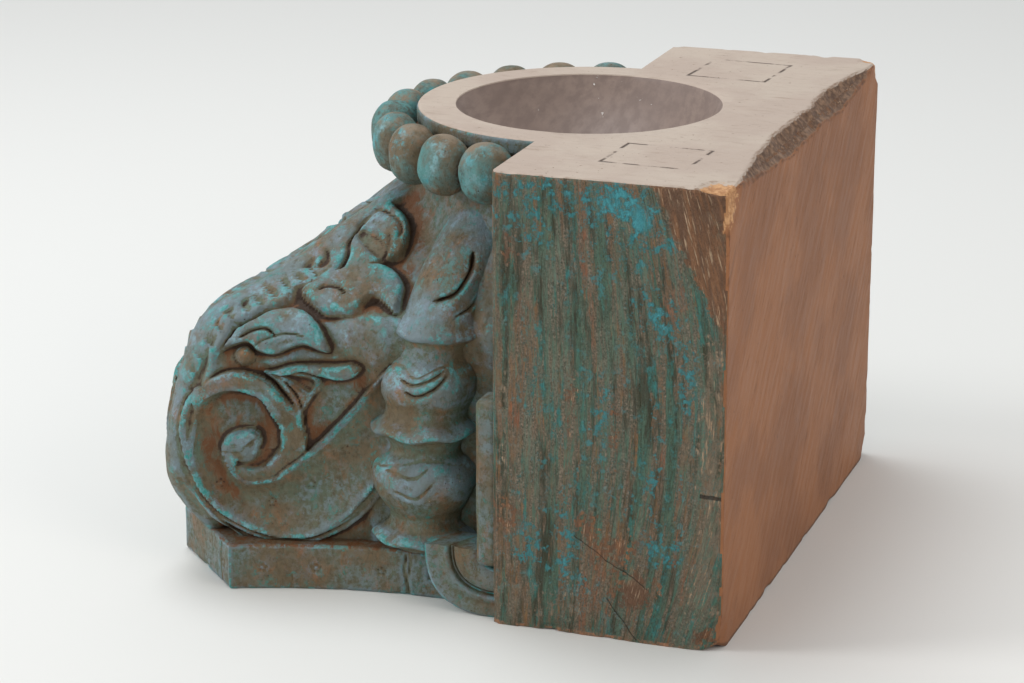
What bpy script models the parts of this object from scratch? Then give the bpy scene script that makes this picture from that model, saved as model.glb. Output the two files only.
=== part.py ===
# Carved wooden capital standing on its abacus: wall block, bell, corner scrolls, tassels, bead ring and bowl
# The origin is on the floor under the middle of the whole capital, +Z up, front towards -Y, metres
import math

import bmesh
import bpy
import numpy as np
from mathutils import Matrix, Vector

for old in list(bpy.data.objects):
    bpy.data.objects.remove(old, do_unlink=True)

# Billet and wall block
capital_height = 0.250
block_width = 0.334
block_depth = 0.127
block_edge_round = 0.002
axis_to_block = 0.0335  # from the capital's axis back to the block's front plane

# Abacus
abacus_half_width = 0.170
abacus_thickness = 0.026
horn_half_span = 0.120  # from the middle of a side to the corner of its horn
side_hollow = 0.025

# Round top, bead ring and bowl
disc_radius = 0.097
disc_lip_height = 0.010
disc_edge_round = 0.001
bowl_radius = 0.075
bowl_depth = 0.042
bead_ring_radius = 0.110
beads_per_turn = 23
bead_width = 0.0290  # along the ring
bead_reach = 0.0250  # across the ring
bead_height = 0.0320
bead_top_drop = 0.0005  # the beads' tops lie this far under the round top
bead_core_inset = 0.004  # how far the band behind the beads lies inside their middle
bead_span = math.radians(97)  # the ring runs this far round from the front on either hand, into the block
band_height = 0.023
band_foot_radius = 0.060  # the band tapers into the neck
band_foot_drop = 0.029
top_axis_shift = 0.0015  # the round top sits this far in front of the block's front plane

# Bell
neck_radius = 0.100
bell_foot_radius = 0.130

# Corner scrolls and their leaves
scroll_reach = 0.2265  # from the capital's axis along the diagonal
scroll_tip_half_width = 0.011
scroll_spread = math.radians(31)
scroll_eye_back = 0.0375  # from the tip along the scroll's face
scroll_eye_height = 0.078
scroll_eye_radius = 0.0100
scroll_eye_rise = 0.0015  # heights and depths of the carving count from the corner's plain wall
scroll_rise = 0.0010
channel_depth = 0.0070  # under the scroll's rim
ribbon_depth = 0.0025
scroll_fillet_width = 0.0040
scroll_fillet_depth = 0.0020
leaf_rise = 0.0010
leaf_ground_depth = 0.0060
leaf_edge = 0.0040  # run of a lobe's rounded edge
carving_start_span = (0.6, 1.6)  # the carving starts beside the spine, in shares of the tip's half width
carving_edge = 0.0012  # half the run of an edge of the scroll
carving_fade = 0.010  # the carving dies out over this height under the beads

# Tassels, the tails that curl off the side ones, and the strips up the block beside them
tassel_radius = 0.030
tassel_axis_out = 0.1275  # from the capital's middle plane
tassel_side_shift = 0.0190  # a side tassel stands this far in front of the capital's axis
tassel_root_inset = 0.006  # the root's outside lies this far inside the neck
tail_length = 0.041  # from its curl's middle forward
tail_drop = 0.0325  # from its curl's middle down
tail_inner_radius = 0.010
tail_face_out = 0.161
tail_thickness = 0.024
strip_width = 0.0115
strip_face_out = 0.1640
strip_thickness = 0.030
strip_foot = 0.030
strip_top = 0.125

# Fineness of the carved surface
carving_columns = 460
carving_rows = 140
carving_faces = 5750
round_sides = 56
tassel_sides = 14
bowl_sides = 40
bowl_rings = 5
slab_steps = 12
tail_steps = 8
seat_overlap = 0.006  # how deep a joined form reaches into its neighbour
cut_overshoot = 0.010  # how far the bowl's cutter stands out of the top
slope_step = 0.0005  # step over which the plain form's slope is taken

# The capital's depth runs from the front of the abacus to the block's back face
capital_depth = abacus_half_width + axis_to_block + block_depth
axis_y = -capital_depth / 2 + abacus_half_width
block_front = axis_y + axis_to_block
block_middle = block_front + block_depth / 2
top_axis_y = block_front - top_axis_shift
bead_middle = capital_height - bead_top_drop - bead_height / 2

# Outline of the spine down the corner leaf and round the scroll, as shares of height and of reach
spine_profile = ((0.09, 0.90), (0.16, 0.958), (0.21, 0.990), (0.27, 1.0), (0.36, 0.988), (0.43, 0.969),
                 (0.50, 0.944), (0.56, 0.912), (0.61, 0.860), (0.66, 0.740), (0.71, 0.625), (0.77, 0.515),
                 (0.81, 0.43), (0.85, 0.33), (0.92, 0.25))

# Swell of the bell from its foot (0) to its neck (1), by share of height
bell_profile = ((0.09, 0.0), (0.30, 0.03), (0.50, 0.16), (0.62, 0.30), (0.70, 0.50), (0.78, 0.86),
                (0.84, 1.0), (0.92, 1.0))

# Spans of height, as shares, over which the bell leans back and a corner's wall draws in, flares and softens
bell_lean_span = (0.45, 0.85)
wall_draw_span = (0.40, 0.66)
wall_flare_span = (0.45, 0.72)
spine_soft_span = (0.50, 0.68)
wall_flare = 0.25  # growth of the wall's slope over the scroll
spine_crown = 0.35  # bulge of the spine across, in shares of the tip's half width
crown_limit = 1.25
spine_rounding = 0.25  # of the spine's edges, in shares of the tip's half width
upper_rounding = 1.6
arm_blend = 0.030  # how softly the arms run into the bell, as a share of height

# Radii of the scroll's channel at each eighth of a turn inwards, in shares of the eye's radius
channel_outer = (8.2, 5.4, 3.50, 3.0, 3.10, 2.98, 2.75, 2.45, 2.05, 1.7, 1.35, 1.05)
channel_inner = (4.7, 2.1, 1.50, 1.5, 1.62, 1.55, 1.42, 1.36, 1.30, 1.0, 0.9, 0.8)
rim_outer = (8.2, 5.4, 3.50, 3.0, 3.15, 3.36, 3.50, 3.56, 3.60)
scroll_stretch = 1.3  # the scroll is taller than it is wide

# Beyond the scroll the channel runs on straight up towards the bell, in shares of scroll_reach from the eye
run_start = (0.155, -0.035)
run_finish = (0.380, 0.195)
run_width = 0.125

# The leaf takes the scroll's place over this line and between these ends, in shares of scroll_reach
leaf_line = 0.16
leaf_line_slope = 0.10
leaf_field = ((0.50, 0.62), (-0.14, -0.10))

# Leaf lobes beside the scroll, in shares of scroll_reach: distance behind the eye, height over the eye
lobe_outlines = (
    ((0.29, 0.40), (0.38, 0.47), (0.49, 0.54), (0.53, 0.53), (0.51, 0.48), (0.47, 0.45), (0.40, 0.43)),
    ((0.20, 0.37), (0.32, 0.43), (0.43, 0.44), (0.45, 0.42), (0.43, 0.38), (0.39, 0.36), (0.36, 0.37),
     (0.25, 0.345)),
    ((-0.03, 0.25), (0.03, 0.32), (0.14, 0.35), (0.19, 0.345), (0.21, 0.31), (0.22, 0.25), (0.13, 0.26),
     (0.08, 0.24), (0.03, 0.27)),
    ((0.09, 0.20), (0.17, 0.22), (0.27, 0.225), (0.29, 0.21), (0.26, 0.18), (0.20, 0.19), (0.17, 0.13),
     (0.13, 0.17)),
)

# Body of the leaf along the corner's spine, in the same shares
leaf_body = ((-0.16, 0.03), (-0.13, 0.11), (-0.09, 0.17), (-0.035, 0.25), (0.01, 0.30), (0.14, 0.35),
             (0.20, 0.375), (0.28, 0.40), (0.34, 0.43), (0.43, 0.51), (0.52, 0.55), (0.56, 0.62),
             (0.18, 0.84), (-0.26, 0.66), (-0.31, 0.0))

# Turned outline of a tassel from its root down, as shares of height and of the tassel's radius
tassel_profile = ((0.86, 0.75), (0.80, 0.86), (0.74, 0.92), (0.66, 0.93), (0.604, 0.95), (0.584, 0.98),
                  (0.556, 0.80), (0.538, 0.71), (0.484, 0.93), (0.412, 0.78), (0.380, 1.0), (0.352, 0.78),
                  (0.332, 0.66), (0.308, 0.82), (0.268, 1.0), (0.236, 0.945), (0.160, 0.66), (0.134, 0.98),
                  (0.118, 0.90), (0.100, 0.62))

# How far a tassel has leant from over its foot (0) towards its root in the neck (1), by share of height
tassel_lean = ((0.0, 0.0), (0.31, 0.0), (0.42, 0.03), (0.484, 0.08), (0.584, 0.20), (0.64, 0.30),
               (0.688, 0.42), (0.744, 0.60), (0.80, 0.80), (0.86, 1.0))


def paint(name, colour, roughness):
    material = bpy.data.materials.new(name)
    material.use_nodes = True
    shader = material.node_tree.nodes["Principled BSDF"]
    shader.inputs["Base Color"].default_value = (*colour, 1.0)
    shader.inputs["Roughness"].default_value = roughness
    shader.inputs["Metallic"].default_value = 0.0
    return material


def add_object(name, mesh):
    item = bpy.data.objects.new(name, mesh)
    bpy.context.scene.collection.objects.link(item)
    return item


def add_form(name, shape):
    # A form that is joined into the billet or cut out of it
    mesh = bpy.data.meshes.new(name)
    shape.normal_update()
    shape.to_mesh(mesh)
    shape.free()
    item = add_object(name, mesh)
    item.hide_render = True
    item.display_type = "WIRE"
    return item


def smooth_step(low, high, value):
    share = np.clip((value - low) / (high - low), 0.0, 1.0)
    return share * share * (3 - 2 * share)


def along(points, value):
    # Smooth curve through points, read at value
    keys = np.array([point[0] for point in points])
    levels = np.array([point[1] for point in points])
    slopes = np.gradient(levels, keys)
    value = np.clip(value, keys[0], keys[-1])
    index = np.clip(np.searchsorted(keys, value) - 1, 0, len(keys) - 2)
    width = keys[index + 1] - keys[index]
    share = (value - keys[index]) / width
    rest = 1 - share
    start = rest ** 2 * ((1 + 2 * share) * levels[index] + share * width * slopes[index])
    finish = share ** 2 * ((1 + 2 * rest) * levels[index + 1] - rest * width * slopes[index + 1])
    return start + finish


def inside_depth(outline, across, up):
    # Distance to a closed outline, positive inside it
    distance = np.full(np.shape(across), 1e9)
    inside = np.zeros(np.shape(across), bool)
    for (ax, ay), (bx, by) in zip(outline, outline[1:] + outline[:1]):
        run, rise = bx - ax, by - ay
        share = np.clip(((across - ax) * run + (up - ay) * rise) / (run ** 2 + rise ** 2), 0, 1)
        distance = np.minimum(distance, np.hypot(across - ax - share * run, up - ay - share * rise))
        if rise != 0:
            inside ^= ((ay > up) != (by > up)) & (across < ax + (up - ay) * run / rise)
    return np.where(inside, distance, -distance)


def soft_least(first, second, blend):
    # The smaller of two fields, rounded where they meet
    mix = np.clip(0.5 + 0.5 * (first - second) / blend, 0, 1)
    return first * (1 - mix) + second * mix - blend * mix * (1 - mix)


def ground_field(across, ahead, height):
    # Negative inside the plain bell and the plain corner arms, before they are carved
    share = height / capital_height
    lean = (top_axis_y - axis_y) * smooth_step(*bell_lean_span, share)
    swell = along(bell_profile, share)
    bell = np.hypot(across, ahead - lean) - (bell_foot_radius + (neck_radius - bell_foot_radius) * swell)
    out = (across - ahead) / math.sqrt(2)
    off = np.abs(across + ahead) / math.sqrt(2)
    reach = scroll_reach * along(spine_profile, share)
    wall_reach = scroll_reach + (reach - scroll_reach) * smooth_step(*wall_draw_span, share)
    slope = math.tan(scroll_spread) + wall_flare * smooth_step(*wall_flare_span, share)
    wall = (off - scroll_tip_half_width - slope * (wall_reach - out)) / np.sqrt(1 + slope ** 2)
    beside = np.minimum(off / scroll_tip_half_width, crown_limit)
    crown = spine_crown * scroll_tip_half_width * beside ** 2
    softness = spine_rounding + upper_rounding * smooth_step(*spine_soft_span, share)
    arm = -soft_least(-wall, reach - out - crown, scroll_tip_half_width * softness)
    return soft_least(arm, bell, arm_blend * capital_height)


def at_eighths(levels, place):
    return along(tuple(enumerate(levels)), place)


def scroll_relief(back, over):
    # Channel, rim and eye of the scroll: back runs away from its tip, over runs up from its eye
    flat = over / scroll_stretch
    radius = np.hypot(back, flat) / scroll_eye_radius
    turn = np.mod(np.arctan2(-flat, back), 2 * math.pi) / (math.pi / 4)
    rim = at_eighths(rim_outer, turn)
    outer = at_eighths(channel_outer, turn)
    inner = at_eighths(channel_inner, turn)
    last_outer = at_eighths(channel_outer, np.minimum(turn + 8, 11))
    last_inner = at_eighths(channel_inner, np.minimum(turn + 8, 11))
    cup = np.clip(np.abs(2 * radius - outer - inner) / (outer - inner), 0, 1) ** 2
    last_cup = np.clip(np.abs(2 * radius - last_outer - last_inner) / (last_outer - last_inner), 0, 1) ** 2
    soft = carving_edge / scroll_eye_radius
    fillet = scroll_fillet_width / scroll_eye_radius
    band = smooth_step(-soft, soft, rim - radius)
    skirt = smooth_step(-soft, soft, rim + fillet - radius)
    core = smooth_step(-soft, soft, inner - radius)
    last_core = smooth_step(-soft, soft, last_outer - radius) * smooth_step(3.2, 2.6, turn)
    lift = -leaf_ground_depth + (leaf_ground_depth - scroll_fillet_depth) * skirt
    lift = lift + (scroll_rise - channel_depth * (1 - cup) - lift) * band
    lift = lift + (-ribbon_depth - lift) * core
    lift = lift + (-ribbon_depth - channel_depth * (1 - last_cup) / 2 - lift) * last_core
    run = np.subtract(run_finish, run_start)
    beside = (back - run_start[0] * scroll_reach) * run[1] - (over - run_start[1] * scroll_reach) * run[0]
    beside = beside / np.hypot(*run) / scroll_reach
    run_cup = np.clip(np.abs(2 * beside / run_width - 1), 0, 1) ** 2
    on_run = (beside > 0) & (over > 0) & (back > 0)
    lift = np.where(on_run, scroll_rise - channel_depth * (1 - run_cup), lift)
    ball = np.sqrt(np.clip(1 - radius ** 2, 0, 1))
    eye = scroll_eye_rise - channel_depth * (1 - ball)
    return np.where(radius < 1, np.maximum(lift, eye), lift)


def leaf_relief(back, over):
    # Height of the leaf's body and lobes, with the ground round them
    lift = np.full(np.shape(back), -leaf_ground_depth)
    for outline, rise in [(leaf_body, 0.0)] + [(lobe, leaf_rise) for lobe in lobe_outlines]:
        depth = inside_depth(outline, back / scroll_reach, over / scroll_reach) * scroll_reach
        raised = -leaf_ground_depth + (rise + leaf_ground_depth) * smooth_step(0.0, leaf_edge, depth)
        lift = np.maximum(lift, raised)
    return lift


def arm_relief(back, over):
    # The scroll below, the leaf beside and over it, and between them a ground that is cut back
    lift = scroll_relief(back, over)
    away = np.abs(back / scroll_reach)
    above = smooth_step(0.0, 0.02, over / scroll_reach - leaf_line - leaf_line_slope * away)
    (field_end, field_fade), (tip_fade, tip_end) = leaf_field
    share = back / scroll_reach
    field = smooth_step(field_fade, field_end, share) * smooth_step(tip_fade, tip_end, share)
    leaf = leaf_relief(back, over)
    lift = lift + (leaf * field - lift) * above
    return np.where(leaf > -leaf_ground_depth, np.maximum(lift, leaf), lift)


def softened(lift):
    # Each height becomes the mean of its neighbourhood, which takes the steps out of slanting edges
    for _ in range(2):
        lift = (lift + np.roll(lift, 1, axis=1) + np.roll(lift, -1, axis=1)) / 3
        ends = np.pad(lift, ((1, 1), (0, 0)), mode="edge")
        lift = (ends[:-2] + ends[1:-1] + ends[2:]) / 3
    return lift


def even_angles():
    # Angles round the axis that step evenly along the plain outline at the height of the scroll's eye
    fine = np.linspace(0, 2 * math.pi, 3601)
    radius = ground_radius(fine, np.full(fine.shape, scroll_eye_height))
    x, y = radius * np.cos(fine), np.minimum(radius * np.sin(fine), axis_to_block + seat_overlap)
    length = np.concatenate([[0], np.cumsum(np.hypot(np.diff(x), np.diff(y)))])
    return np.interp(np.linspace(0, length[-1], carving_columns, endpoint=False), length, fine)


def ground_radius(angle, height):
    near = np.full(angle.shape, neck_radius * 0.3)
    far = np.full(angle.shape, scroll_reach * 1.3)
    for _ in range(26):
        middle = (near + far) / 2
        outside = ground_field(np.abs(middle * np.cos(angle)), middle * np.sin(angle), height) > 0
        far = np.where(outside, middle, far)
        near = np.where(outside, near, middle)
    return near


def carving_mesh():
    # The bell and arms as a closed skin round the capital's axis, carved by moving points along its normals
    angles = even_angles()
    low = abacus_thickness - seat_overlap
    high = bead_middle
    heights = np.linspace(low, high, carving_rows)
    angle, height = np.meshgrid(angles, heights)
    radius = ground_radius(angle, height)
    across = np.abs(radius * np.cos(angle))
    ahead = radius * np.sin(angle)
    step = slope_step
    normal = np.stack([
        ground_field(across + step, ahead, height) - ground_field(across - step, ahead, height),
        ground_field(across, ahead + step, height) - ground_field(across, ahead - step, height),
        ground_field(across, ahead, height + step) - ground_field(across, ahead, height - step),
    ], axis=-1)
    normal /= np.linalg.norm(normal, axis=-1, keepdims=True)
    out = (across - ahead) / math.sqrt(2)
    off = np.abs(across + ahead) / math.sqrt(2)
    back = (scroll_reach - out) / math.cos(scroll_spread) - scroll_eye_back
    over = height - scroll_eye_height
    on_arm = smooth_step(*carving_start_span, off / scroll_tip_half_width)
    in_field = smooth_step(0.0, carving_fade, out) * smooth_step(-seat_overlap, 0.0, axis_to_block - ahead)
    fade = smooth_step(0.0, carving_fade, high - height) * smooth_step(0.0, seat_overlap, height - low)
    lift = softened(arm_relief(back, over)) * on_arm * in_field * fade
    across = across + normal[..., 0] * lift
    ahead = ahead + normal[..., 1] * lift
    rise = height + normal[..., 2] * lift
    rise[0], rise[-1] = low, high
    across = np.where(np.cos(angle) < 0, -across, across)
    ahead = np.minimum(ahead, axis_to_block + 1.5 * seat_overlap)
    points = np.stack([across, ahead + axis_y, rise], axis=-1).reshape(-1, 3)
    shape = bmesh.new()
    corners = [shape.verts.new(point) for point in points]
    rings = [corners[start:start + carving_columns] for start in range(0, len(corners), carving_columns)]
    join_rings(shape, rings)
    bmesh.ops.triangulate(shape, faces=shape.faces[:])
    mesh = bpy.data.meshes.new("capital")
    shape.to_mesh(mesh)
    shape.free()
    return mesh


def join_rings(shape, rings):
    # Faces between rings of corners that lie over each other, with the first and last ring closed
    for lower, upper in zip(rings, rings[1:]):
        for side in range(len(lower)):
            shape.faces.new((lower[side - 1], lower[side], upper[side], upper[side - 1]))
    shape.faces.new(rings[0][::-1])
    shape.faces.new(rings[-1])


def make_block():
    shape = bmesh.new()
    size = Matrix.Diagonal((block_width, block_depth, capital_height, 1))
    place = Matrix.Translation((0, block_middle, capital_height / 2))
    bmesh.ops.create_cube(shape, size=1, matrix=place @ size)
    bmesh.ops.bevel(shape, geom=shape.edges[:], offset=block_edge_round, segments=2, affect="EDGES")
    return add_form("block_form", shape)


def turned(name, profile, sides):
    # Round solid about upright rings of (radius, height, middle x, middle y), bottom to top
    shape = bmesh.new()
    rings = []
    for radius, height, x, y in profile:
        rings.append([shape.verts.new((x + radius * math.cos(2 * math.pi * side / sides),
                                       y + radius * math.sin(2 * math.pi * side / sides), height))
                      for side in range(sides)])
    join_rings(shape, rings)
    return add_form(name, shape)


def make_collar():
    # Disc round the bowl, the groove under its rim, and the band that carries the beads
    band_radius = bead_ring_radius - bead_core_inset
    profile = ((band_foot_radius, bead_middle - band_foot_drop),
               (band_radius, bead_middle - band_height / 2),
               (band_radius, bead_middle + bead_top_drop),
               (disc_radius, capital_height - disc_lip_height),
               (disc_radius, capital_height - disc_edge_round),
               (disc_radius - disc_edge_round, capital_height))
    return turned("collar_form", [(radius, height, 0, top_axis_y) for radius, height in profile], round_sides)


def make_beads():
    shape = bmesh.new()
    size = Matrix.Diagonal((bead_width / 2, bead_reach / 2, bead_height / 2, 1))
    for bead in range(-(beads_per_turn // 2), beads_per_turn // 2 + 1):
        angle = 2 * math.pi * bead / beads_per_turn
        if abs(angle) > bead_span:
            continue
        turn = Matrix.Rotation(angle, 4, "Z")
        place = Vector((0, top_axis_y, bead_middle)) + turn @ Vector((0, -bead_ring_radius, 0))
        bmesh.ops.create_uvsphere(shape, u_segments=8, v_segments=6, radius=1,
                                  matrix=Matrix.Translation(place) @ turn @ size)
    return add_form("bead_forms", shape)


def make_abacus():
    # Square slab with hollow sides and cut corners, centred on the capital's axis and let into the block
    arc = (horn_half_span ** 2 + side_hollow ** 2) / (2 * side_hollow)
    steps = slab_steps
    behind = axis_to_block + seat_overlap

    def out(off):
        return abacus_half_width - side_hollow + arc - math.sqrt(arc ** 2 - off ** 2)

    side = [behind - (behind + horn_half_span) * step / steps for step in range(steps + 1)]
    front = [horn_half_span * (1 - 2 * step / steps) for step in range(steps + 1)]
    outline = [(out(off), off) for off in side]
    outline += [(off, -out(off)) for off in front]
    outline += [(-out(off), off) for off in reversed(side)]
    shape = bmesh.new()
    floor = shape.faces.new([shape.verts.new((x, y + axis_y, 0)) for x, y in outline])
    lifted = bmesh.ops.extrude_face_region(shape, geom=[floor])["geom"]
    corners = [item for item in lifted if isinstance(item, bmesh.types.BMVert)]
    bmesh.ops.translate(shape, vec=(0, 0, abacus_thickness), verts=corners)
    bmesh.ops.recalc_face_normals(shape, faces=shape.faces[:])
    return add_form("abacus_form", shape)


def make_tassel(name, foot):
    # It grows out of the neck, leans out to above its foot and hangs straight down from there
    neck_middle = Vector((0, top_axis_y))
    root_out = neck_radius - tassel_root_inset - tassel_profile[0][1] * tassel_radius
    root = neck_middle + (foot - neck_middle).normalized() * root_out
    profile = []
    for height, radius in reversed(tassel_profile):
        middle = foot.lerp(root, float(along(tassel_lean, height)))
        profile.append((radius * tassel_radius, height * capital_height, middle.x, middle.y))
    return turned(name, profile, tassel_sides)


def make_tail(name, hand):
    # Quarter of a flattened ring that curls from under a tassel down to the floor and back to the block
    behind = seat_overlap
    outer = []
    inner = []
    for step in range(tail_steps + 1):
        angle = math.pi / 2 * step / tail_steps
        outer.append((-tail_length * math.cos(angle), tail_drop - tail_drop * math.sin(angle)))
        inner.append((-tail_inner_radius * math.cos(angle), tail_drop - tail_inner_radius * math.sin(angle)))
    outline = outer + [(behind, 0.0), (behind, inner[-1][1])] + inner[::-1]
    shape = bmesh.new()
    side = shape.faces.new([shape.verts.new((hand * (tail_face_out - tail_thickness), y + block_front, z))
                            for y, z in outline])
    lifted = bmesh.ops.extrude_face_region(shape, geom=[side])["geom"]
    corners = [item for item in lifted if isinstance(item, bmesh.types.BMVert)]
    bmesh.ops.translate(shape, vec=(hand * tail_thickness, 0, 0), verts=corners)
    bmesh.ops.recalc_face_normals(shape, faces=shape.faces[:])
    return add_form(name, shape)


def make_strip(name, hand):
    shape = bmesh.new()
    size = Vector((strip_thickness, strip_width + seat_overlap, strip_top - strip_foot))
    place = Vector((hand * (strip_face_out - strip_thickness / 2), block_front - strip_width + size.y / 2,
                    (strip_top + strip_foot) / 2))
    bmesh.ops.create_cube(shape, size=1, matrix=Matrix.Translation(place) @ Matrix.Diagonal((*size, 1)))
    return add_form(name, shape)


def make_bowl():
    # A bowl cut as part of a ball that meets the top in a circle
    ball = (bowl_radius ** 2 + bowl_depth ** 2) / (2 * bowl_depth)
    shape = bmesh.new()
    last = [shape.verts.new((0, top_axis_y, capital_height - bowl_depth))]
    half_angle = math.asin(bowl_radius / ball)
    loops = []
    for ring in range(1, bowl_rings + 1):
        bend = half_angle * ring / bowl_rings
        loops.append((ball * math.sin(bend), capital_height - bowl_depth + ball * (1 - math.cos(bend))))
    loops.append((bowl_radius, capital_height + cut_overshoot))
    turns = [2 * math.pi * side / bowl_sides for side in range(bowl_sides)]
    for radius, height in loops:
        loop = [shape.verts.new((radius * math.cos(turn), top_axis_y + radius * math.sin(turn), height))
                for turn in turns]
        for side in range(bowl_sides):
            if len(last) == 1:
                shape.faces.new((last[0], loop[side - 1], loop[side]))
            else:
                shape.faces.new((last[side - 1], last[side], loop[side], loop[side - 1]))
        last = loop
    shape.faces.new(last)
    bmesh.ops.recalc_face_normals(shape, faces=shape.faces[:])
    return add_form("bowl_cut", shape)


def add_boolean(item, form, operation):
    step = item.modifiers.new(form.name, "BOOLEAN")
    step.operation = operation
    step.solver = "EXACT"
    step.object = form


def make_capital():
    capital = add_object("capital", carving_mesh())
    thin = capital.modifiers.new("carving", "DECIMATE")
    thin.ratio = carving_faces / len(capital.data.polygons)
    add_boolean(capital, make_block(), "UNION")
    add_boolean(capital, make_abacus(), "UNION")
    add_boolean(capital, make_collar(), "UNION")
    add_boolean(capital, make_beads(), "UNION")
    for side, hand in (("right", 1), ("left", -1)):
        foot = Vector((hand * tassel_axis_out, axis_y - tassel_side_shift))
        add_boolean(capital, make_tassel(side + "_tassel", foot), "UNION")
        add_boolean(capital, make_tail(side + "_tail", hand), "UNION")
        add_boolean(capital, make_strip(side + "_strip", hand), "UNION")
    add_boolean(capital, make_tassel("front_tassel", Vector((0, axis_y - tassel_axis_out))), "UNION")
    add_boolean(capital, make_bowl(), "DIFFERENCE")
    capital.data.materials.append(paint("worn_painted_teak", (0.13, 0.17, 0.15), 0.7))
    return capital


make_capital()
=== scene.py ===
import math

import bpy
import numpy as np
from mathutils import Matrix, Vector


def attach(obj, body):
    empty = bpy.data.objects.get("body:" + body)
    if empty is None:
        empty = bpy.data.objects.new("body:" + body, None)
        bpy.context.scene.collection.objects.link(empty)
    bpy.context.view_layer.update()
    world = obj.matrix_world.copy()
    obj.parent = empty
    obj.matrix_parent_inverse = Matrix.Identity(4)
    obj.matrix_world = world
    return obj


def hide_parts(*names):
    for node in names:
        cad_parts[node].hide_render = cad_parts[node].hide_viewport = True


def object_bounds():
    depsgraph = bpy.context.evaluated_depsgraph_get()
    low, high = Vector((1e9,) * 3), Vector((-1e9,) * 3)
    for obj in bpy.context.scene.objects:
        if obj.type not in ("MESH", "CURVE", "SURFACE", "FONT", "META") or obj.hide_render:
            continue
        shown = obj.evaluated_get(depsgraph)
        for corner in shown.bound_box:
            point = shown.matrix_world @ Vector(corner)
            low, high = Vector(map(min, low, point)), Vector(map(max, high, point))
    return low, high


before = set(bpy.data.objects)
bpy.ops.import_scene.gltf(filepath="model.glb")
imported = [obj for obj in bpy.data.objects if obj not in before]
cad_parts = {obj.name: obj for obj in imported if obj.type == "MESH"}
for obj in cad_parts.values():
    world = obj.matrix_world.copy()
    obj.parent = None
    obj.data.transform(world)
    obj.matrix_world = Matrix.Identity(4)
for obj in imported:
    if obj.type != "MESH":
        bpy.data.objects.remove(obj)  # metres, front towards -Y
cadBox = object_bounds()

# The billet's own sizes in metres; the box gives the rest
billet = {
    "height": 0.250,
    "blockWidth": 0.334,
    "axisToBlock": 0.0335,
    "neckRadius": 0.100,
    "footRadius": 0.130,
    "reach": 0.2265,  # capital's axis to a scroll's tip
    "tipHalfWidth": 0.011,
    "spread": math.radians(31),
    "eyeBack": 0.0375,
    "eyeHeight": 0.078,
    "topShift": 0.0015,
    "bowlRadius": 0.075,
    "bowlDepth": 0.042,
}
blockBack = cadBox[1].y
slabFront = cadBox[0].y
slabHalf = cadBox[1].x
axisY = slabFront + slabHalf
blockFront = axisY + billet["axisToBlock"]
bowlY = blockFront - billet["topShift"]
topZ = cadBox[1].z
mm = 0.001


# Noise, curves and outlines that several pieces share

def smoothStep(low, high, value):
    share = np.clip((value - low) / (high - low), 0.0, 1.0)
    return share * share * (3 - 2 * share)


def along(points, value):
    # Smooth curve through the points, read at value
    keys = np.array([point[0] for point in points], float)
    levels = np.array([point[1] for point in points], float)
    slopes = np.gradient(levels, keys)
    value = np.clip(value, keys[0], keys[-1])
    index = np.clip(np.searchsorted(keys, value) - 1, 0, len(keys) - 2)
    width = keys[index + 1] - keys[index]
    share = (value - keys[index]) / width
    left = 1 - share
    start = (1 + 2 * share) * levels[index] + share * width * slopes[index]
    finish = (3 - 2 * share) * levels[index + 1] - left * width * slopes[index + 1]
    return left ** 2 * start + share ** 2 * finish


def atEighths(levels, turn):
    return along(list(enumerate(levels)), turn)


def latticeValue(x, y, z, seed):
    mixed = (x * 73856093) ^ (y * 19349663) ^ (z * 83492791) ^ (seed * 26544357)
    mixed = (mixed ^ (mixed >> 13)) * 1274126177
    return ((mixed ^ (mixed >> 16)) & 0xffff) / 32767.5 - 1.0


def softNoise(points, size, seed=0, layers=1):
    # Smooth noise from -1 to 1; size is how wide its lumps are, in metres
    total = np.zeros(points.shape[:-1])
    weight = 0.0
    for layer in range(layers):
        scaled = points / (size / 2 ** layer)
        cell = np.floor(scaled).astype(np.int64)
        part = scaled - cell
        part = part * part * (3 - 2 * part)
        value = np.zeros(points.shape[:-1])
        for corner in range(8):
            step = np.array([corner & 1, corner >> 1 & 1, corner >> 2 & 1])
            share = np.prod(np.where(step == 1, part, 1 - part), axis=-1)
            at = cell + step
            value += share * latticeValue(at[..., 0], at[..., 1], at[..., 2], seed + 17 * layer)
        total += value / 2 ** layer
        weight += 1 / 2 ** layer
    return total / weight


def smoothPath(points, closed=False, steps=5):
    # Rounds a path of given points
    points = np.array(points, float)
    count = len(points)
    out = []
    for index in range(count if closed else count - 1):
        if closed:
            a, b, c, d = (points[(index + shift) % count] for shift in (-1, 0, 1, 2))
        else:
            a, b, c, d = (points[min(max(index + shift, 0), count - 1)] for shift in (-1, 0, 1, 2))
        for step in range(steps):
            t = step / steps
            out.append(0.5 * (2 * b + (c - a) * t + (2 * a - 5 * b + 4 * c - d) * t ** 2
                              + (3 * b - a - 3 * c + d) * t ** 3))
    if not closed:
        out.append(points[-1])
    return np.array(out)


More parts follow.
